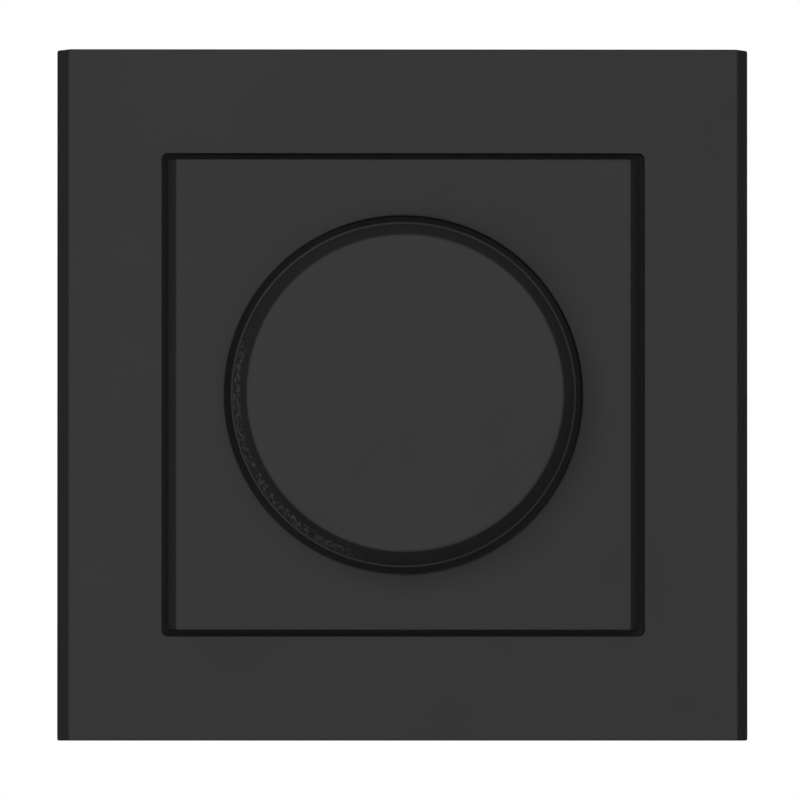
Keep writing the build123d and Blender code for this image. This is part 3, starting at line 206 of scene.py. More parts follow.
def specked_black_moulding():
    """The knob's matt black thermoplastic, with dull grey specks low on its flank at the lower left."""
    material, tree, shader, place, tone = black_moulding("matt_black_thermoplastic_specked")
    low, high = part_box("knob")
    reach = (high.x - low.x) / 2
    towards = (math.cos(SPECK_DIRECTION), 0.0, math.sin(SPECK_DIRECTION))
    side = add(tree, "VectorMath", {0: place, 1: towards}, operation="DOT_PRODUCT")
    lower_left = add(tree, "MapRange", {
        "Value": side.outputs["Value"],
        "From Min": reach * math.cos(SPECK_HALF_WIDTH),
        "From Max": reach * math.cos(SPECK_HALF_WIDTH - SPECK_FADE),
    })
    depth = add(tree, "SeparateXYZ", {"Vector": place}).outputs["Y"]
    front = low.y + SPECK_FRONT
    behind_front = add(tree, "MapRange", {
        "Value": depth, "From Min": front - SPECK_FRONT_FADE, "From Max": front,
    })
    back = low.y + SPECK_BACK
    before_back = add(tree, "MapRange", {
        "Value": depth, "From Min": back + SPECK_BACK_FADE, "From Max": back,
    })
    on_flank = add(tree, "Math", {
        0: behind_front.outputs[0], 1: before_back.outputs[0],
    }, operation="MULTIPLY")
    band = add(tree, "Math", {0: lower_left.outputs[0], 1: on_flank.outputs[0]}, operation="MULTIPLY")
    # The specks are longer along the knob's axis, because the flank is seen almost edge-on
    stretched = add(tree, "Mapping", {"Vector": place, "Scale": (1.0, 0.25, 1.0)})
    spots = add(tree, "TexNoise", {"Vector": stretched.outputs[0], "Scale": 1 / SPECK_SPOT, "Detail": 2.0})
    bright = add(tree, "MapRange", {"Value": spots.outputs["Fac"], "From Min": 0.46, "From Max": 0.82})
    speck = add(tree, "Math", {0: band.outputs[0], 1: bright.outputs[0]}, operation="MULTIPLY")
    # Dull grey specks laid on the even tone, low on the flank at the lower left
    spotted = add(tree, "Mix", {
        SHARE: speck.outputs[0], COLOUR_A: tone, COLOUR_B: linear("#7d7c7a"),
    }, data_type="RGBA")
    join(tree, shader, {"Base Color": spotted.outputs[MIXED]})
    return material


def zinc_plated_steel():
    """Stamped steel with zinc plating: cool grey metal, a soft cloudy shine and a faint warm tarnish."""
    material, tree, shader, place = start_material("zinc_plated_steel", "#a9adb0", 0.44, metallic=1.0)
    cloud_size = 9 * MM
    clouds = add(tree, "TexNoise", {"Vector": place, "Scale": 1 / cloud_size, "Detail": 4.0})
    tarnish = add(tree, "MapRange", {"Value": clouds.outputs["Fac"], "From Min": 0.35, "From Max": 0.75})
    tone = add(tree, "Mix", {
        SHARE: tarnish.outputs[0], COLOUR_A: linear("#a7acb0"), COLOUR_B: linear("#adaca6"),
    }, data_type="RGBA")
    # Rolling lines of about 0.1 mm, drawn three times as wide so that they show
    line_width = 0.3 * MM
    drawn = add(tree, "Mapping", {"Vector": place, "Scale": (1.0, 1.0, 0.04)})
    lines = add(tree, "TexNoise", {"Vector": drawn.outputs[0], "Scale": 1 / line_width, "Detail": 3.0})
    shine = add(tree, "MapRange", {"Value": lines.outputs["Fac"], "To Min": 0.36, "To Max": 0.54})
    relief = add(tree, "Bump", {"Height": lines.outputs["Fac"], "Distance": 0.006 * MM, "Strength": 0.4})
    join(tree, shader, {
        "Base Color": tone.outputs[MIXED], "Roughness": shine.outputs[0], "Normal": relief.outputs["Normal"],
    })
    return material


def spring_steel():
    """Bare hardened spring steel: darker than zinc, with fine drawing lines along the strip."""
    material, tree, shader, place = start_material("spring_steel", "#9a9ca0", 0.3, metallic=1.0)
    # Drawing lines of about 0.05 mm, drawn four times as wide so that they show
    line_width = 0.2 * MM
    drawn = add(tree, "Mapping", {"Vector": place, "Scale": (1.0, 0.06, 1.0)})
    lines = add(tree, "TexNoise", {"Vector": drawn.outputs[0], "Scale": 1 / line_width, "Detail": 2.0})
    tone = add(tree, "Mix", {
        SHARE: lines.outputs["Fac"], COLOUR_A: linear("#8d8f94"), COLOUR_B: linear("#a9abad"),
    }, data_type="RGBA")
    shine = add(tree, "MapRange", {"Value": lines.outputs["Fac"], "To Min": 0.22, "To Max": 0.4})
    join(tree, shader, {"Base Color": tone.outputs[MIXED], "Roughness": shine.outputs[0]})
    return material


def light_grey_thermoset():
    """Moulded light grey thermoset: matt and a little chalky, with faint flow clouds and dark flecks."""
    material, tree, shader, place = start_material("light_grey_thermoset", "#b7b8b5", 0.6, specular=0.35)
    cloud_size = 9 * MM
    clouds = add(tree, "TexNoise", {
        "Vector": place, "Scale": 1 / cloud_size, "Detail": 3.0, "Distortion": 0.8,
    })
    tone = add(tree, "Mix", {
        SHARE: clouds.outputs["Fac"], COLOUR_A: linear("#b0b1ae"), COLOUR_B: linear("#bebfbc"),
    }, data_type="RGBA")
    # Filler flecks of about 0.1 mm, drawn three times as large so that they show
    fleck_spacing = 0.9 * MM
    flecks = add(tree, "TexVoronoi", {"Vector": place, "Scale": 1 / fleck_spacing})
    dark = add(tree, "MapRange", {"Value": flecks.outputs["Distance"], "From Min": 0.16, "From Max": 0.08})
    faint = add(tree, "Math", {0: dark.outputs[0], 1: 0.35}, operation="MULTIPLY")
    speckled = add(tree, "Mix", {
        SHARE: faint.outputs[0], COLOUR_A: tone.outputs[MIXED], COLOUR_B: linear("#858682"),
    }, data_type="RGBA")
    grain_size = 0.35 * MM
    grain = add(tree, "TexNoise", {"Vector": place, "Scale": 1 / grain_size, "Detail": 3.0})
    relief = add(tree, "Bump", {"Height": grain.outputs["Fac"], "Distance": 0.015 * MM, "Strength": 0.5})
    join(tree, shader, {"Base Color": speckled.outputs[MIXED], "Normal": relief.outputs["Normal"]})
    return material


def dark_grey_polyamide():
    """Moulded dark grey glass-filled polyamide: satin, with short pale fibre marks at its skin."""
    material, tree, shader, place = start_material("dark_grey_polyamide", "#46484b", 0.48, specular=0.4)
    # Glass fibres are about 0.01 mm thick, drawn far wider so that they show
    fibre_width = 0.4 * MM
    stretched = add(tree, "Mapping", {"Vector": place, "Scale": (0.25, 1.0, 1.0)})
    fibres = add(tree, "TexNoise", {"Vector": stretched.outputs[0], "Scale": 1 / fibre_width, "Detail": 3.0})
    tone = add(tree, "Mix", {
        SHARE: fibres.outputs["Fac"], COLOUR_A: linear("#404245"), COLOUR_B: linear("#4e5053"),
    }, data_type="RGBA")
    shine = add(tree, "MapRange", {"Value": fibres.outputs["Fac"], "To Min": 0.4, "To Max": 0.58})
    relief = add(tree, "Bump", {"Height": fibres.outputs["Fac"], "Distance": 0.01 * MM, "Strength": 0.4})
    join(tree, shader, {
        "Base Color": tone.outputs[MIXED], "Roughness": shine.outputs[0], "Normal": relief.outputs["Normal"],
    })
    return material


def stamped_brass():
    """Bare stamped brass: warm yellow metal, a little dulled in soft patches."""
    material, tree, shader, place = start_material("stamped_brass", "#d9b568", 0.32, metallic=1.0)
    patch_size = 2.5 * MM
    patches = add(tree, "TexNoise", {"Vector": place, "Scale": 1 / patch_size, "Detail": 3.0})
    tone = add(tree, "Mix", {
        SHARE: patches.outputs["Fac"], COLOUR_A: linear("#c79f52"), COLOUR_B: linear("#e3c47c"),
    }, data_type="RGBA")
    shine = add(tree, "MapRange", {"Value": patches.outputs["Fac"], "To Min": 0.24, "To Max": 0.42})
    join(tree, shader, {"Base Color": tone.outputs[MIXED], "Roughness": shine.outputs[0]})
    return material


def nickel_plated_brass():
    """Turned brass with nickel plating: pale warm silver with fine turning rings round the knob's axis."""
    material, tree, shader, place = start_material("nickel_plated_brass", "#cdc8bb", 0.25, metallic=1.0)
    # Turning marks of about 0.06 mm, drawn four times as wide so that they show
    marks = {"Vector": place, "Scale": wave_scale(0.25 * MM)}
    rings = add(tree, "TexWave", marks, wave_type="RINGS", rings_direction="Y")
    tone = add(tree, "Mix", {
        SHARE: rings.outputs["Fac"], COLOUR_A: linear("#c4bfb2"), COLOUR_B: linear("#d4d0c5"),
    }, data_type="RGBA")
    shine = add(tree, "MapRange", {"Value": rings.outputs["Fac"], "To Min": 0.2, "To Max": 0.34})
    join(tree, shader, {"Base Color": tone.outputs[MIXED], "Roughness": shine.outputs[0]})
    return material


def turned_aluminium():
    """Turned aluminium: bright grey metal with fine cutting lines across the shaft."""
    material, tree, shader, place = start_material("turned_aluminium", "#d5d6d7", 0.28, metallic=1.0)
    # Cutting lines of about 0.08 mm, drawn three times as wide so that they show
    marks = {"Vector": place, "Scale": wave_scale(0.25 * MM)}
    cuts = add(tree, "TexWave", marks, bands_direction="Y")
    tone = add(tree, "Mix", {
        SHARE: cuts.outputs["Fac"], COLOUR_A: linear("#cbccce"), COLOUR_B: linear("#dddedf"),
    }, data_type="RGBA")
    shine = add(tree, "MapRange", {"Value": cuts.outputs["Fac"], "To Min": 0.22, "To Max": 0.4})
    join(tree, shader, {"Base Color": tone.outputs[MIXED], "Roughness": shine.outputs[0]})
    return material


def phenolic_wafer():
    """Brown phenolic paper sheet with a screened carbon track: a dull black ring on a mottled wafer."""
    material, tree, shader, place = start_material("phenolic_wafer", "#7a5a3c", 0.55)
    fibre_size = 0.8 * MM
    fibres = add(tree, "TexNoise", {"Vector": place, "Scale": 1 / fibre_size, "Detail": 4.0})
    board = add(tree, "Mix", {
        SHARE: fibres.outputs["Fac"], COLOUR_A: linear("#6c4e33"), COLOUR_B: linear("#8a6845"),
    }, data_type="RGBA")
    flat = add(tree, "Mapping", {"Vector": place, "Scale": (1.0, 0.0, 1.0)})
    radius = add(tree, "VectorMath", {0: flat.outputs[0]}, operation="LENGTH").outputs["Value"]
    past_inner = add(tree, "Math", {0: radius, 1: TRACK_INNER}, operation="GREATER_THAN")
    before_outer = add(tree, "Math", {0: radius, 1: TRACK_OUTER}, operation="LESS_THAN")
    track = add(tree, "Math", {0: past_inner.outputs[0], 1: before_outer.outputs[0]}, operation="MULTIPLY")
    tone = add(tree, "Mix", {
        SHARE: track.outputs[0], COLOUR_A: board.outputs[MIXED], COLOUR_B: linear("#26241f"),
    }, data_type="RGBA")
    join(tree, shader, {"Base Color": tone.outputs[MIXED]})
    return material


def natural_nylon():
    """Moulded natural nylon: milky off-white and slightly waxy, with soft pale clouds."""
    material, tree, shader, place = start_material("natural_nylon", "#dedbd0", 0.42)
    cloud_size = 2 * MM
    clouds = add(tree, "TexNoise", {"Vector": place, "Scale": 1 / cloud_size, "Detail": 2.0})
    tone = add(tree, "Mix", {
        SHARE: clouds.outputs["Fac"], COLOUR_A: linear("#d6d2c5"), COLOUR_B: linear("#e6e4da"),
    }, data_type="RGBA")
    shine = add(tree, "MapRange", {"Value": clouds.outputs["Fac"], "To Min": 0.35, "To Max": 0.52})
    join(tree, shader, {"Base Color": tone.outputs[MIXED], "Roughness": shine.outputs[0]})
    return material


def board_laminate():
    """Glass laminate under green solder mask: a glossy green with the weave of the glass just showing."""
    material, tree, shader, place = start_material("board_laminate", "#2f6b3c", 0.3)
    threads = {"Vector": place, "Scale": wave_scale(0.6 * MM)}
    warp = add(tree, "TexWave", threads, bands_direction="X")
    weft = add(tree, "TexWave", threads, bands_direction="Z")
    weave = add(tree, "Math", {0: warp.outputs["Fac"], 1: weft.outputs["Fac"]}, operation="MULTIPLY")
    tone = add(tree, "Mix", {
        SHARE: weave.outputs[0], COLOUR_A: linear("#2a6136"), COLOUR_B: linear("#397a48"),
    }, data_type="RGBA")
    relief = add(tree, "Bump", {"Height": weave.outputs[0], "Distance": 0.01 * MM, "Strength": 0.3})
    join(tree, shader, {"Base Color": tone.outputs[MIXED], "Normal": relief.outputs["Normal"]})
    return material


def moulded_epoxy():
    """Transfer-moulded black epoxy: matt charcoal with a fine sandy grain."""
    material, tree, shader, place = start_material("moulded_epoxy", "#252526", 0.6, specular=0.35)
    # Mould grain of about 0.05 mm, drawn four times as coarse so that it shows
    grain_size = 0.2 * MM
    grain = add(tree, "TexNoise", {"Vector": place, "Scale": 1 / grain_size, "Detail": 3.0})
    tone = add(tree, "Mix", {
        SHARE: grain.outputs["Fac"], COLOUR_A: linear("#1f1f20"), COLOUR_B: linear("#2d2d2e"),
    }, data_type="RGBA")
    relief = add(tree, "Bump", {"Height": grain.outputs["Fac"], "Distance": 0.01 * MM, "Strength": 0.6})
    join(tree, shader, {"Base Color": tone.outputs[MIXED], "Normal": relief.outputs["Normal"]})
    return material


def tabbed_epoxy():
    """The triac's black epoxy body on a tinned copper tab, with tinned leads at its other end."""
    material, tree, shader, place = start_material("moulded_epoxy_on_tinned_tab", "#252526", 0.6)
    tab_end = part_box("triac")[0].x + TRIAC_TAB
    leads_start = tab_end + TRIAC_BODY
    along = add(tree, "SeparateXYZ", {"Vector": place}).outputs["X"]
    is_tab = add(tree, "Math", {0: along, 1: tab_end - SEAM}, operation="LESS_THAN")
    is_lead = add(tree, "Math", {0: along, 1: leads_start + SEAM}, operation="GREATER_THAN")
    metal = add(tree, "Math", {0: is_tab.outputs[0], 1: is_lead.outputs[0]}, operation="MAXIMUM")
    # Mould grain of about 0.05 mm, drawn four times as coarse so that it shows
    grain_size = 0.2 * MM
    grain = add(tree, "TexNoise", {"Vector": place, "Scale": 1 / grain_size, "Detail": 3.0})
    epoxy = add(tree, "Mix", {
        SHARE: grain.outputs["Fac"], COLOUR_A: linear("#1f1f20"), COLOUR_B: linear("#2d2d2e"),
    }, data_type="RGBA")
    tone = add(tree, "Mix", {
        SHARE: metal.outputs[0], COLOUR_A: epoxy.outputs[MIXED], COLOUR_B: linear("#c2c3c4"),
    }, data_type="RGBA")
    shine = add(tree, "MapRange", {"Value": metal.outputs[0], "To Min": 0.6, "To Max": 0.3})
    join(tree, shader, {
        "Base Color": tone.outputs[MIXED], "Roughness": shine.outputs[0], "Metallic": metal.outputs[0],
    })
    return material


def silicone_sheet():
    """Grey silicone sheet filled with ceramic: soft and dull, with a fine cloth print from its liner."""
    material, tree, shader, place = start_material("silicone_sheet", "#a3a7aa", 0.7, specular=0.3)
    threads = {"Vector": place, "Scale": wave_scale(0.4 * MM)}
    warp = add(tree, "TexWave", threads, bands_direction="X")
    weft = add(tree, "TexWave", threads, bands_direction="Z")
    cloth = add(tree, "Math", {0: warp.outputs["Fac"], 1: weft.outputs["Fac"]}, operation="ADD")
    tone = add(tree, "Mix", {
        SHARE: cloth.outputs[0], COLOUR_A: linear("#9ea2a5"), COLOUR_B: linear("#aaaeb1"),
    }, data_type="RGBA")
    join(tree, shader, {"Base Color": tone.outputs[MIXED]})
    return material


def sintered_ferrite():
    """Sintered ferrite: charcoal ceramic, finely granular, with a glint that changes from grain to grain."""
    material, tree, shader, place = start_material("sintered_ferrite", "#343434", 0.5)
    grain_size = 0.3 * MM
    grain = add(tree, "TexVoronoi", {"Vector": place, "Scale": 1 / grain_size})
    tone = add(tree, "Mix", {
        SHARE: grain.outputs["Distance"], COLOUR_A: linear("#3a3a3b"), COLOUR_B: linear("#2b2b2b"),
    }, data_type="RGBA")
    shine = add(tree, "MapRange", {"Value": grain.outputs["Distance"], "To Min": 0.4, "To Max": 0.65})
    join(tree, shader, {"Base Color": tone.outputs[MIXED], "Roughness": shine.outputs[0]})
    return material


def enamelled_copper():
    """Enamelled copper wire: glossy red-brown metal, a little darker where the enamel lies thicker."""
    material, tree, shader, place = start_material("enamelled_copper", "#a85c36", 0.28, metallic=0.8)
    cloud_size = 1.2 * MM
    clouds = add(tree, "TexNoise", {"Vector": place, "Scale": 1 / cloud_size, "Detail": 2.0})
    tone = add(tree, "Mix", {
        SHARE: clouds.outputs["Fac"], COLOUR_A: linear("#8f4a28"), COLOUR_B: linear("#b96a40"),
    }, data_type="RGBA")
    shine = add(tree, "MapRange", {"Value": clouds.outputs["Fac"], "To Min": 0.22, "To Max": 0.36})
    join(tree, shader, {"Base Color": tone.outputs[MIXED], "Roughness": shine.outputs[0]})
    return material


def yellow_film_case():
    """Moulded yellow polyester case, filled from below: glossy and even, with faint sink clouds."""
    material, tree, shader, place = start_material("yellow_polyester_case", "#d9b23a", 0.3)
    cloud_size = 4 * MM
    clouds = add(tree, "TexNoise", {"Vector": place, "Scale": 1 / cloud_size, "Detail": 2.0})
    tone = add(tree, "Mix", {
        SHARE: clouds.outputs["Fac"], COLOUR_A: linear("#d1a930"), COLOUR_B: linear("#e0bb48"),
    }, data_type="RGBA")
    relief = add(tree, "Bump", {"Height": clouds.outputs["Fac"], "Distance": 0.05 * MM, "Strength": 0.3})
    join(tree, shader, {"Base Color": tone.outputs[MIXED], "Normal": relief.outputs["Normal"]})
    return material


def blue_film_case():
    """Moulded blue epoxy case: glossy, a deeper blue in its soft clouds."""
    material, tree, shader, place = start_material("blue_epoxy_case", "#2c5a9c", 0.28)
    cloud_size = 1.8 * MM
    clouds = add(tree, "TexNoise", {"Vector": place, "Scale": 1 / cloud_size, "Detail": 2.0})
    tone = add(tree, "Mix", {
        SHARE: clouds.outputs["Fac"], COLOUR_A: linear("#264f8c"), COLOUR_B: linear("#3565ab"),
    }, data_type="RGBA")
    relief = add(tree, "Bump", {"Height": clouds.outputs["Fac"], "Distance": 0.05 * MM, "Strength": 0.3})
    join(tree, shader, {"Base Color": tone.outputs[MIXED], "Normal": relief.outputs["Normal"]})
    return material


def banded_lacquer():
    """Lacquered film resistors: glossy beige bodies with painted rings, and tinned leads beyond them."""
    material, tree, shader, place = start_material("banded_resistor_lacquer", "#c9b08c", 0.3)
    rings = {"Vector": place, "Scale": wave_scale(1.6 * MM)}
    bands = add(tree, "TexWave", rings, bands_direction="Z")
    ring = add(tree, "Math", {0: bands.outputs["Fac"], 1: 0.8}, operation="GREATER_THAN")
    painted = add(tree, "Mix", {
        SHARE: ring.outputs[0], COLOUR_A: linear("#c9b08c"), COLOUR_B: linear("#5a3421"),
    }, data_type="RGBA")
    along = add(tree, "SeparateXYZ", {"Vector": place}).outputs["Z"]
    reach = add(tree, "Math", {0: along}, operation="ABSOLUTE")
    metal = add(tree, "Math", {0: reach.outputs[0], 1: RESISTOR_BODY / 2 + SEAM}, operation="GREATER_THAN")
    tone = add(tree, "Mix", {
        SHARE: metal.outputs[0], COLOUR_A: painted.outputs[MIXED], COLOUR_B: linear("#c2c3c4"),
    }, data_type="RGBA")
    join(tree, shader, {"Base Color": tone.outputs[MIXED], "Metallic": metal.outputs[0]})
    return material


def fuse_glass():
    """A glass tube between nickel-plated end caps: see-through in the middle, bright metal at its ends."""
    material, tree, shader, place = start_material("fuse_glass_with_caps", "#dfe4e3", 0.12)
    low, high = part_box("fuse")
    middle = (low.x + high.x) / 2
    caps_start = (high.x - low.x) / 2 - FUSE_CAP - SEAM
    along = add(tree, "SeparateXYZ", {"Vector": place}).outputs["X"]
    offset = add(tree, "Math", {0: along, 1: middle}, operation="SUBTRACT")
    reach = add(tree, "Math", {0: offset.outputs[0]}, operation="ABSOLUTE")
    cap = add(tree, "Math", {0: reach.outputs[0], 1: caps_start}, operation="GREATER_THAN")
    tone = add(tree, "Mix", {
        SHARE: cap.outputs[0], COLOUR_A: linear("#dfe4e3"), COLOUR_B: linear("#c6c2b6"),
    }, data_type="RGBA")
    clear = add(tree, "MapRange", {"Value": cap.outputs[0], "To Min": 0.85, "To Max": 0.0})
    shine = add(tree, "MapRange", {"Value": cap.outputs[0], "To Min": 0.06, "To Max": 0.28})
    join(tree, shader, {
        "Base Color": tone.outputs[MIXED], "Metallic": cap.outputs[0], "Roughness": shine.outputs[0],
        "Transmission Weight": clear.outputs[0],
    })
    return material


finishes = {
    "matt_black_plastic": matt_black_moulding(),
    "zinc_steel": zinc_plated_steel(),
    "spring_steel": spring_steel(),
    "light_grey_moulding": light_grey_thermoset(),
    "dark_grey_moulding": dark_grey_polyamide(),
    "brass": stamped_brass(),
    "nickel_brass": nickel_plated_brass(),
    "aluminium": turned_aluminium(),
    "phenolic_wafer": phenolic_wafer(),
    "white_nylon": natural_nylon(),
    "board_laminate": board_laminate(),
    "black_epoxy": moulded_epoxy(),
    "silicone_pad": silicone_sheet(),
    "ferrite": sintered_ferrite(),
    "enamelled_copper": enamelled_copper(),
    "yellow_film_case": yellow_film_case(),
    "blue_film_case": blue_film_case(),
    "resistor_lacquer": banded_lacquer(),
    "fuse_glass": fuse_glass(),
}
own_finishes = {"knob": specked_black_moulding(), "triac": tabbed_epoxy()}
for part in frame["record"]["subparts"]:
    node = part["node"]
    finish = own_finishes.get(node, finishes[part["material_slot"]])
    frame["nodes"][node].material_slots[0].material = finish


def choose(piece, wanted):
    """Goes into edit mode with only those vertices selected whose place passes a test."""
    bpy.ops.object.mode_set(mode="OBJECT")
    for vertex in piece.data.vertices:
        vertex.select = wanted(vertex.co)
    for edge in piece.data.edges:
        edge.select = all(wanted(piece.data.vertices[i].co) for i in edge.vertices)
    for face in piece.data.polygons:
        face.select = all(wanted(piece.data.vertices[i].co) for i in face.vertices)
    bpy.ops.object.mode_set(mode="EDIT")


def edit_all():
    """Goes into edit mode with the whole mesh selected."""
    bpy.ops.object.mode_set(mode="EDIT")
    bpy.ops.mesh.select_all(action="SELECT")


def face_outwards():
    """In edit mode, turns every face outwards, and leaves edit mode."""
    bpy.ops.mesh.select_all(action="SELECT")
    bpy.ops.mesh.normals_make_consistent(inside=False)
    bpy.ops.object.mode_set(mode="OBJECT")


def settle():
    """Puts the place, turn and scale of what is selected into its mesh."""
    bpy.ops.object.transform_apply(location=True, rotation=True, scale=True)


def wind(profile, pitch, turns, steps, weld):
    """Winds a profile round the Y axis as a screw."""
    screw = profile.modifiers.new("screw", "SCREW")
    screw.axis = "Y"
    screw.screw_offset = pitch
    screw.iterations = turns
    screw.steps = steps
    screw.render_steps = steps
    screw.use_merge_vertices = weld
    screw.merge_threshold = MERGE
    bpy.ops.object.modifier_apply(modifier=screw.name)


def cut(piece, tool, operation):
    """Joins a tool to a piece or cuts it out, and removes the tool."""
    bpy.ops.object.select_all(action="DESELECT")
    bpy.context.view_layer.objects.active = piece
    piece.select_set(True)
    boolean = piece.modifiers.new("boolean", "BOOLEAN")
    boolean.operation = operation
    boolean.solver = "EXACT"
    boolean.object = tool
    bpy.ops.object.modifier_apply(modifier=boolean.name)
    bpy.data.objects.remove(tool)
    edit_all()
    bpy.ops.mesh.remove_doubles(threshold=MERGE)
    bpy.ops.object.mode_set(mode="OBJECT")


def stand_in(piece, name, node, slot, body):
    """Names a piece, gives it its finish, and lets it stand for a node and ride on a body."""
    piece.name = name
    piece.data.materials.clear()
    piece.data.materials.append(finishes[slot])
    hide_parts(node)
    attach(piece, body)


def threaded_shank(front, back):
    """A rod with a screw thread along Y, cut square at both ends."""
    bpy.ops.object.select_all(action="DESELECT")
    bpy.ops.mesh.primitive_plane_add(size=THREAD_PITCH)
    rod = bpy.context.object
    # One edge of the plane becomes the thread's profile over one pitch, with its crest in the middle
    choose(rod, lambda co: co.x > 0)
    bpy.ops.mesh.delete(type="VERT")
    bpy.ops.mesh.select_all(action="SELECT")
    bpy.ops.mesh.subdivide(number_cuts=PROFILE_CUTS)
    root = SHANK_RADIUS - THREAD_DEPTH
    crest = front - THREAD_PITCH
    near = THREAD_PITCH / (4 * (PROFILE_CUTS + 1))
    bpy.ops.transform.translate(value=(root + THREAD_PITCH / 2, crest, 0))
    choose(rod, lambda co: abs(co.y - crest) < near)
    bpy.ops.transform.translate(value=(THREAD_DEPTH, 0, 0))
    bpy.ops.object.mode_set(mode="OBJECT")
    # One more turn at each end leaves room for the square cuts
    wind(rod, THREAD_PITCH, math.ceil((back - front) / THREAD_PITCH) + 2, THREAD_STEPS, weld=True)
    edit_all()
    bpy.ops.mesh.remove_doubles(threshold=MERGE)
    square = {"use_fill": True, "clear_outer": True, "threshold": MERGE}
    bpy.ops.mesh.bisect(plane_co=(0, front, 0), plane_no=(0, -1, 0), **square)
    bpy.ops.mesh.select_all(action="SELECT")
    bpy.ops.mesh.bisect(plane_co=(0, back, 0), plane_no=(0, 1, 0), **square)
    face_outwards()
    return rod


def slotted_head(radius, height):
    """A pan head round the Y axis with its front at zero, rounded at that rim and slotted."""
    bpy.ops.object.select_all(action="DESELECT")
    bpy.ops.mesh.primitive_cylinder_add(
        vertices=HEAD_SEGMENTS, radius=radius, depth=height,
        location=(0, height / 2, 0), rotation=(math.pi / 2, 0, 0),
    )
    head = bpy.context.object
    settle()
    choose(head, lambda co: co.y < height / 2)
    bpy.ops.mesh.bevel(offset=HEAD_EDGE, segments=HEAD_EDGE_SEGMENTS, affect="EDGES")
    bpy.ops.object.mode_set(mode="OBJECT")
    bpy.ops.object.select_all(action="DESELECT")
    bpy.ops.mesh.primitive_cube_add(size=1)
    cutter = bpy.context.object
    # The cutter's middle is on the head's front, and its ends are clear of the head
    cutter.scale = (4 * radius, 2 * SLOT_DEPTH, SLOT_WIDTH)
    settle()
    cut(head, cutter, "DIFFERENCE")
    return head


def threaded_screw(node, head_height, upright=False):
    """A slotted screw with its real thread in place of a plain one, its head in front or, upright, below."""
    low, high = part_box(node)
    middle = (low + high) / 2
    length = high.z - low.z if upright else high.y - low.y
    screw = slotted_head((high.x - low.x) / 2, head_height)
    cut(screw, threaded_shank(head_height - THREAD_PITCH, length), "UNION")
    if upright:
        screw.rotation_euler = (math.pi / 2, 0, 0)
        screw.location = (middle.x, middle.y, low.z)
    else:
        screw.location = (middle.x, low.y, middle.z)
    settle()
    bpy.ops.object.shade_smooth_by_angle(angle=SCREW_SMOOTHING)
    stand_in(screw, f"threaded_{node}", node, "zinc_steel", node)


def wire_turn(low, high):
    """One closed turn of wire round the section of a ring about Y, from two corners of the ring's box."""
    outer = (high.x - low.x) / 2
    bpy.ops.object.select_all(action="DESELECT")
    bpy.ops.mesh.primitive_plane_add(size=1)
    turn = bpy.context.object
    turn.scale = (outer - CHOKE_BORE + CHOKE_LAYER, high.y - low.y + CHOKE_LAYER, 1)
    turn.location = ((outer + CHOKE_BORE) / 2, (low.y + high.y) / 2, 0)
    settle()
    edit_all()
    bpy.ops.mesh.bevel(offset=CHOKE_BEND, segments=CHOKE_BEND_SEGMENTS, affect="VERTICES")
    bpy.ops.mesh.select_all(action="SELECT")
    bpy.ops.mesh.delete(type="ONLY_FACE")
    bpy.ops.object.mode_set(mode="OBJECT")
    bpy.ops.object.convert(target="CURVE")
    curve = bpy.context.object.data
    curve.bevel_depth = CHOKE_WIRE / 2
    curve.bevel_resolution = CHOKE_WIRE_DETAIL
    bpy.ops.object.convert(target="MESH")
    return bpy.context.object


def wound_choke():
    """Turns of round wire on the choke's ring and two leads into the board, in place of a plain sleeve."""
    low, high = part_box("choke_core")
    winding = wire_turn(low, high)
    edit_all()
    step = 2 * math.pi / CHOKE_TURNS
    bpy.ops.mesh.spin(
        steps=CHOKE_TURNS - 1, angle=2 * math.pi - step, dupli=True, center=(0, 0, 0), axis=(0, 1, 0),
    )
    face_outwards()
    lead_start = high.y + CHOKE_LAYER / 2
    lead_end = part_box("choke_winding")[1].y
    reach = ((high.x - low.x) / 2 + CHOKE_BORE) / 2
    for side in (-1, 1):
        bpy.ops.object.select_all(action="DESELECT")
        bpy.ops.mesh.primitive_cylinder_add(
            vertices=CHOKE_LEAD_SEGMENTS, radius=CHOKE_WIRE / 2, depth=lead_end - lead_start,
            location=(side * reach, (lead_start + lead_end) / 2, 0), rotation=(math.pi / 2, 0, 0),
        )
        lead = bpy.context.object
        settle()
        cut(winding, lead, "UNION")
    winding.location = ((low.x + high.x) / 2, 0, (low.z + high.z) / 2)
    settle()
    bpy.ops.object.shade_smooth_by_angle(angle=CHOKE_SMOOTHING)
    stand_in(winding, "choke_wire_turns", "choke_winding", "enamelled_copper", "insert")


def coil_spring():
    """A spring of round wire in place of the flat one."""
    low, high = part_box("switch_spring")
    length = high.y - low.y
    bpy.ops.object.select_all(action="DESELECT")
    bpy.ops.mesh.primitive_circle_add(vertices=SPRING_WIRE_SEGMENTS, radius=SPRING_WIRE_RADIUS)
    coil = bpy.context.object
    edit_all()
    bpy.ops.transform.translate(value=(high.x - SPRING_WIRE_RADIUS, low.y + SPRING_WIRE_RADIUS, 0))
    bpy.ops.object.mode_set(mode="OBJECT")
    rise = length - 2 * SPRING_WIRE_RADIUS
    wind(coil, rise / SPRING_TURNS, SPRING_TURNS, SPRING_STEPS, weld=False)
    edit_all()
    bpy.ops.mesh.fill_holes(sides=0)
    face_outwards()
    settle()
    bpy.ops.object.shade_smooth_by_angle(angle=SPRING_SMOOTHING)
    stand_in(coil, "switch_spring_coil", "switch_spring", "spring_steel", "insert")
    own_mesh(coil)


def soft_light(name, place, size, power):
    """A square studio lamp that faces the object and is seen neither itself nor in reflections."""
    bpy.ops.object.light_add(type="AREA", location=place)
    lamp = bpy.context.object
    lamp.name = name
    lamp.data.size = size
    lamp.data.energy = power
    lamp.rotation_euler = (-place).to_track_quat("-Z", "Y").to_euler()
    lamp.visible_camera = False
    lamp.visible_glossy = False


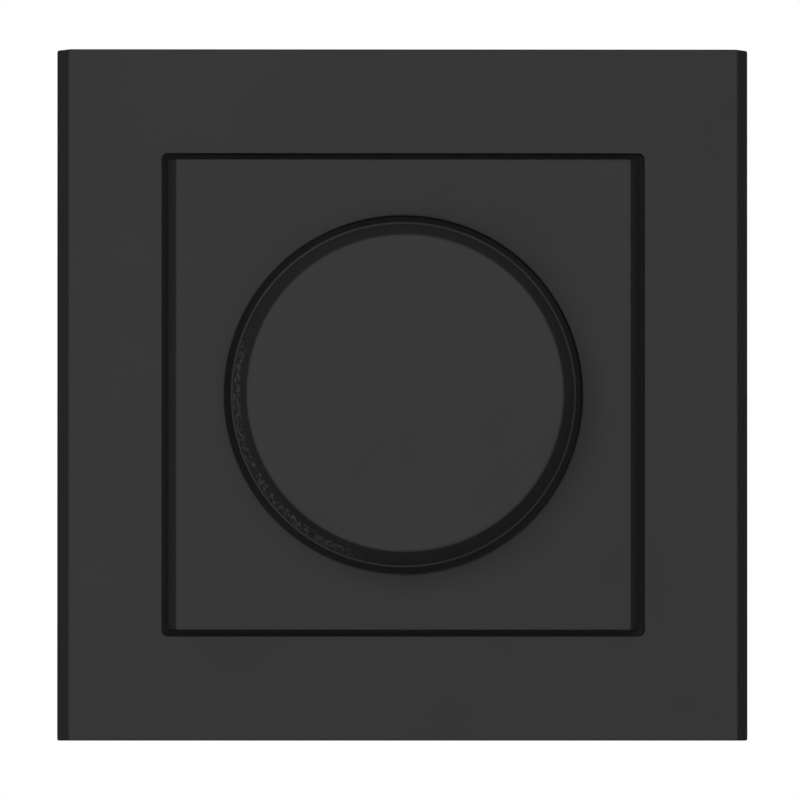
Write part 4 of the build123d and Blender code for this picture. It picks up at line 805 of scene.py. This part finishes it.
def white_world():
    """A white surrounding in the picture and in reflections, which lights the object only weakly."""
    world = bpy.data.worlds.new("studio")
    world.use_nodes = True
    tree = world.node_tree
    tree.nodes.clear()
    path = add(tree, "LightPath").outputs
    seen = add(tree, "Math", {0: path["Is Camera Ray"], 1: path["Is Glossy Ray"]}, operation="MAXIMUM")
    seen = add(tree, "Math", {0: seen.outputs[0], 1: path["Is Transmission Ray"]}, operation="MAXIMUM")
    weak = add(tree, "Background", {"Color": linear("#ffffff"), "Strength": AMBIENT})
    white = add(tree, "Background", {"Color": linear("#ffffff"), "Strength": 1.0})
    both = add(tree, "MixShader", {0: seen.outputs[0], 1: weak.outputs[0], 2: white.outputs[0]})
    add(tree, "OutputWorld", {"Surface": both.outputs[0]})
    bpy.context.scene.world = world


def pale_floor():
    """A round pale floor below the object, clear from below, that fades into the white at its rim."""
    bpy.ops.object.select_all(action="DESELECT")
    bpy.ops.mesh.primitive_circle_add(
        vertices=FLOOR_SEGMENTS, radius=FLOOR_RADIUS, fill_type="NGON", location=(0, 0, FLOOR_LEVEL),
    )
    floor = bpy.context.object
    floor.name = "studio_floor"
    material = bpy.data.materials.new("studio_paper")
    material.use_nodes = True
    tree = material.node_tree
    tree.nodes.clear()
    place = add(tree, "TexCoord").outputs["Object"]
    radius = add(tree, "VectorMath", {0: place}, operation="LENGTH")
    fade = add(tree, "MapRange", {
        "Value": radius.outputs["Value"], "From Min": FLOOR_FADE_START, "From Max": FLOOR_RADIUS,
    }, interpolation_type="SMOOTHSTEP")
    below = add(tree, "NewGeometry").outputs["Backfacing"]
    hidden = add(tree, "Math", {0: fade.outputs[0], 1: below}, operation="MAXIMUM")
    seen = add(tree, "LightPath").outputs["Is Camera Ray"]
    paper = add(tree, "BsdfDiffuse", {"Color": linear("#a6a6a4")})
    glow_level = add(tree, "Math", {0: seen, 1: FLOOR_GLOW}, operation="MULTIPLY")
    glow = add(tree, "Emission", {"Color": linear("#ffffff"), "Strength": glow_level.outputs[0]})
    lit = add(tree, "AddShader", {0: paper.outputs[0], 1: glow.outputs[0]})
    clear = add(tree, "BsdfTransparent")
    both = add(tree, "MixShader", {0: hidden.outputs[0], 1: lit.outputs[0], 2: clear.outputs[0]})
    add(tree, "OutputMaterial", {"Surface": both.outputs[0]})
    floor.data.materials.append(material)


def front_camera():
    """A long lens in front of the knob, a little to the left and below."""
    azimuth = math.radians(CAMERA_AZIMUTH)
    elevation = math.radians(CAMERA_ELEVATION)
    back = Vector((math.sin(azimuth), -math.cos(azimuth), math.tan(elevation))).normalized()
    bpy.ops.object.camera_add(location=AIM + back * CAMERA_DISTANCE)
    camera = bpy.context.object
    camera.name = "front_camera"
    camera.rotation_euler = back.to_track_quat("Z", "Y").to_euler()
    camera.data.sensor_width = SENSOR
    camera.data.lens = SENSOR * CAMERA_DISTANCE / PICTURE_WIDTH
    bpy.context.scene.camera = camera


for side in ("right", "left"):
    threaded_screw(f"claw_screw_{side}", CLAW_HEAD_HEIGHT)
for pole in (1, 2, 3):
    threaded_screw(f"terminal_screw_{pole}", TERMINAL_HEAD_HEIGHT, upright=True)
coil_spring()
wound_choke()
bpy.ops.object.select_all(action="DESELECT")
soft_light("key_light", KEY_PLACE, KEY_SIZE, KEY_POWER)
soft_light("back_light", BACK_PLACE, BACK_SIZE, BACK_POWER)
white_world()
pale_floor()
front_camera()
bpy.context.scene.view_settings.view_transform = "Standard"
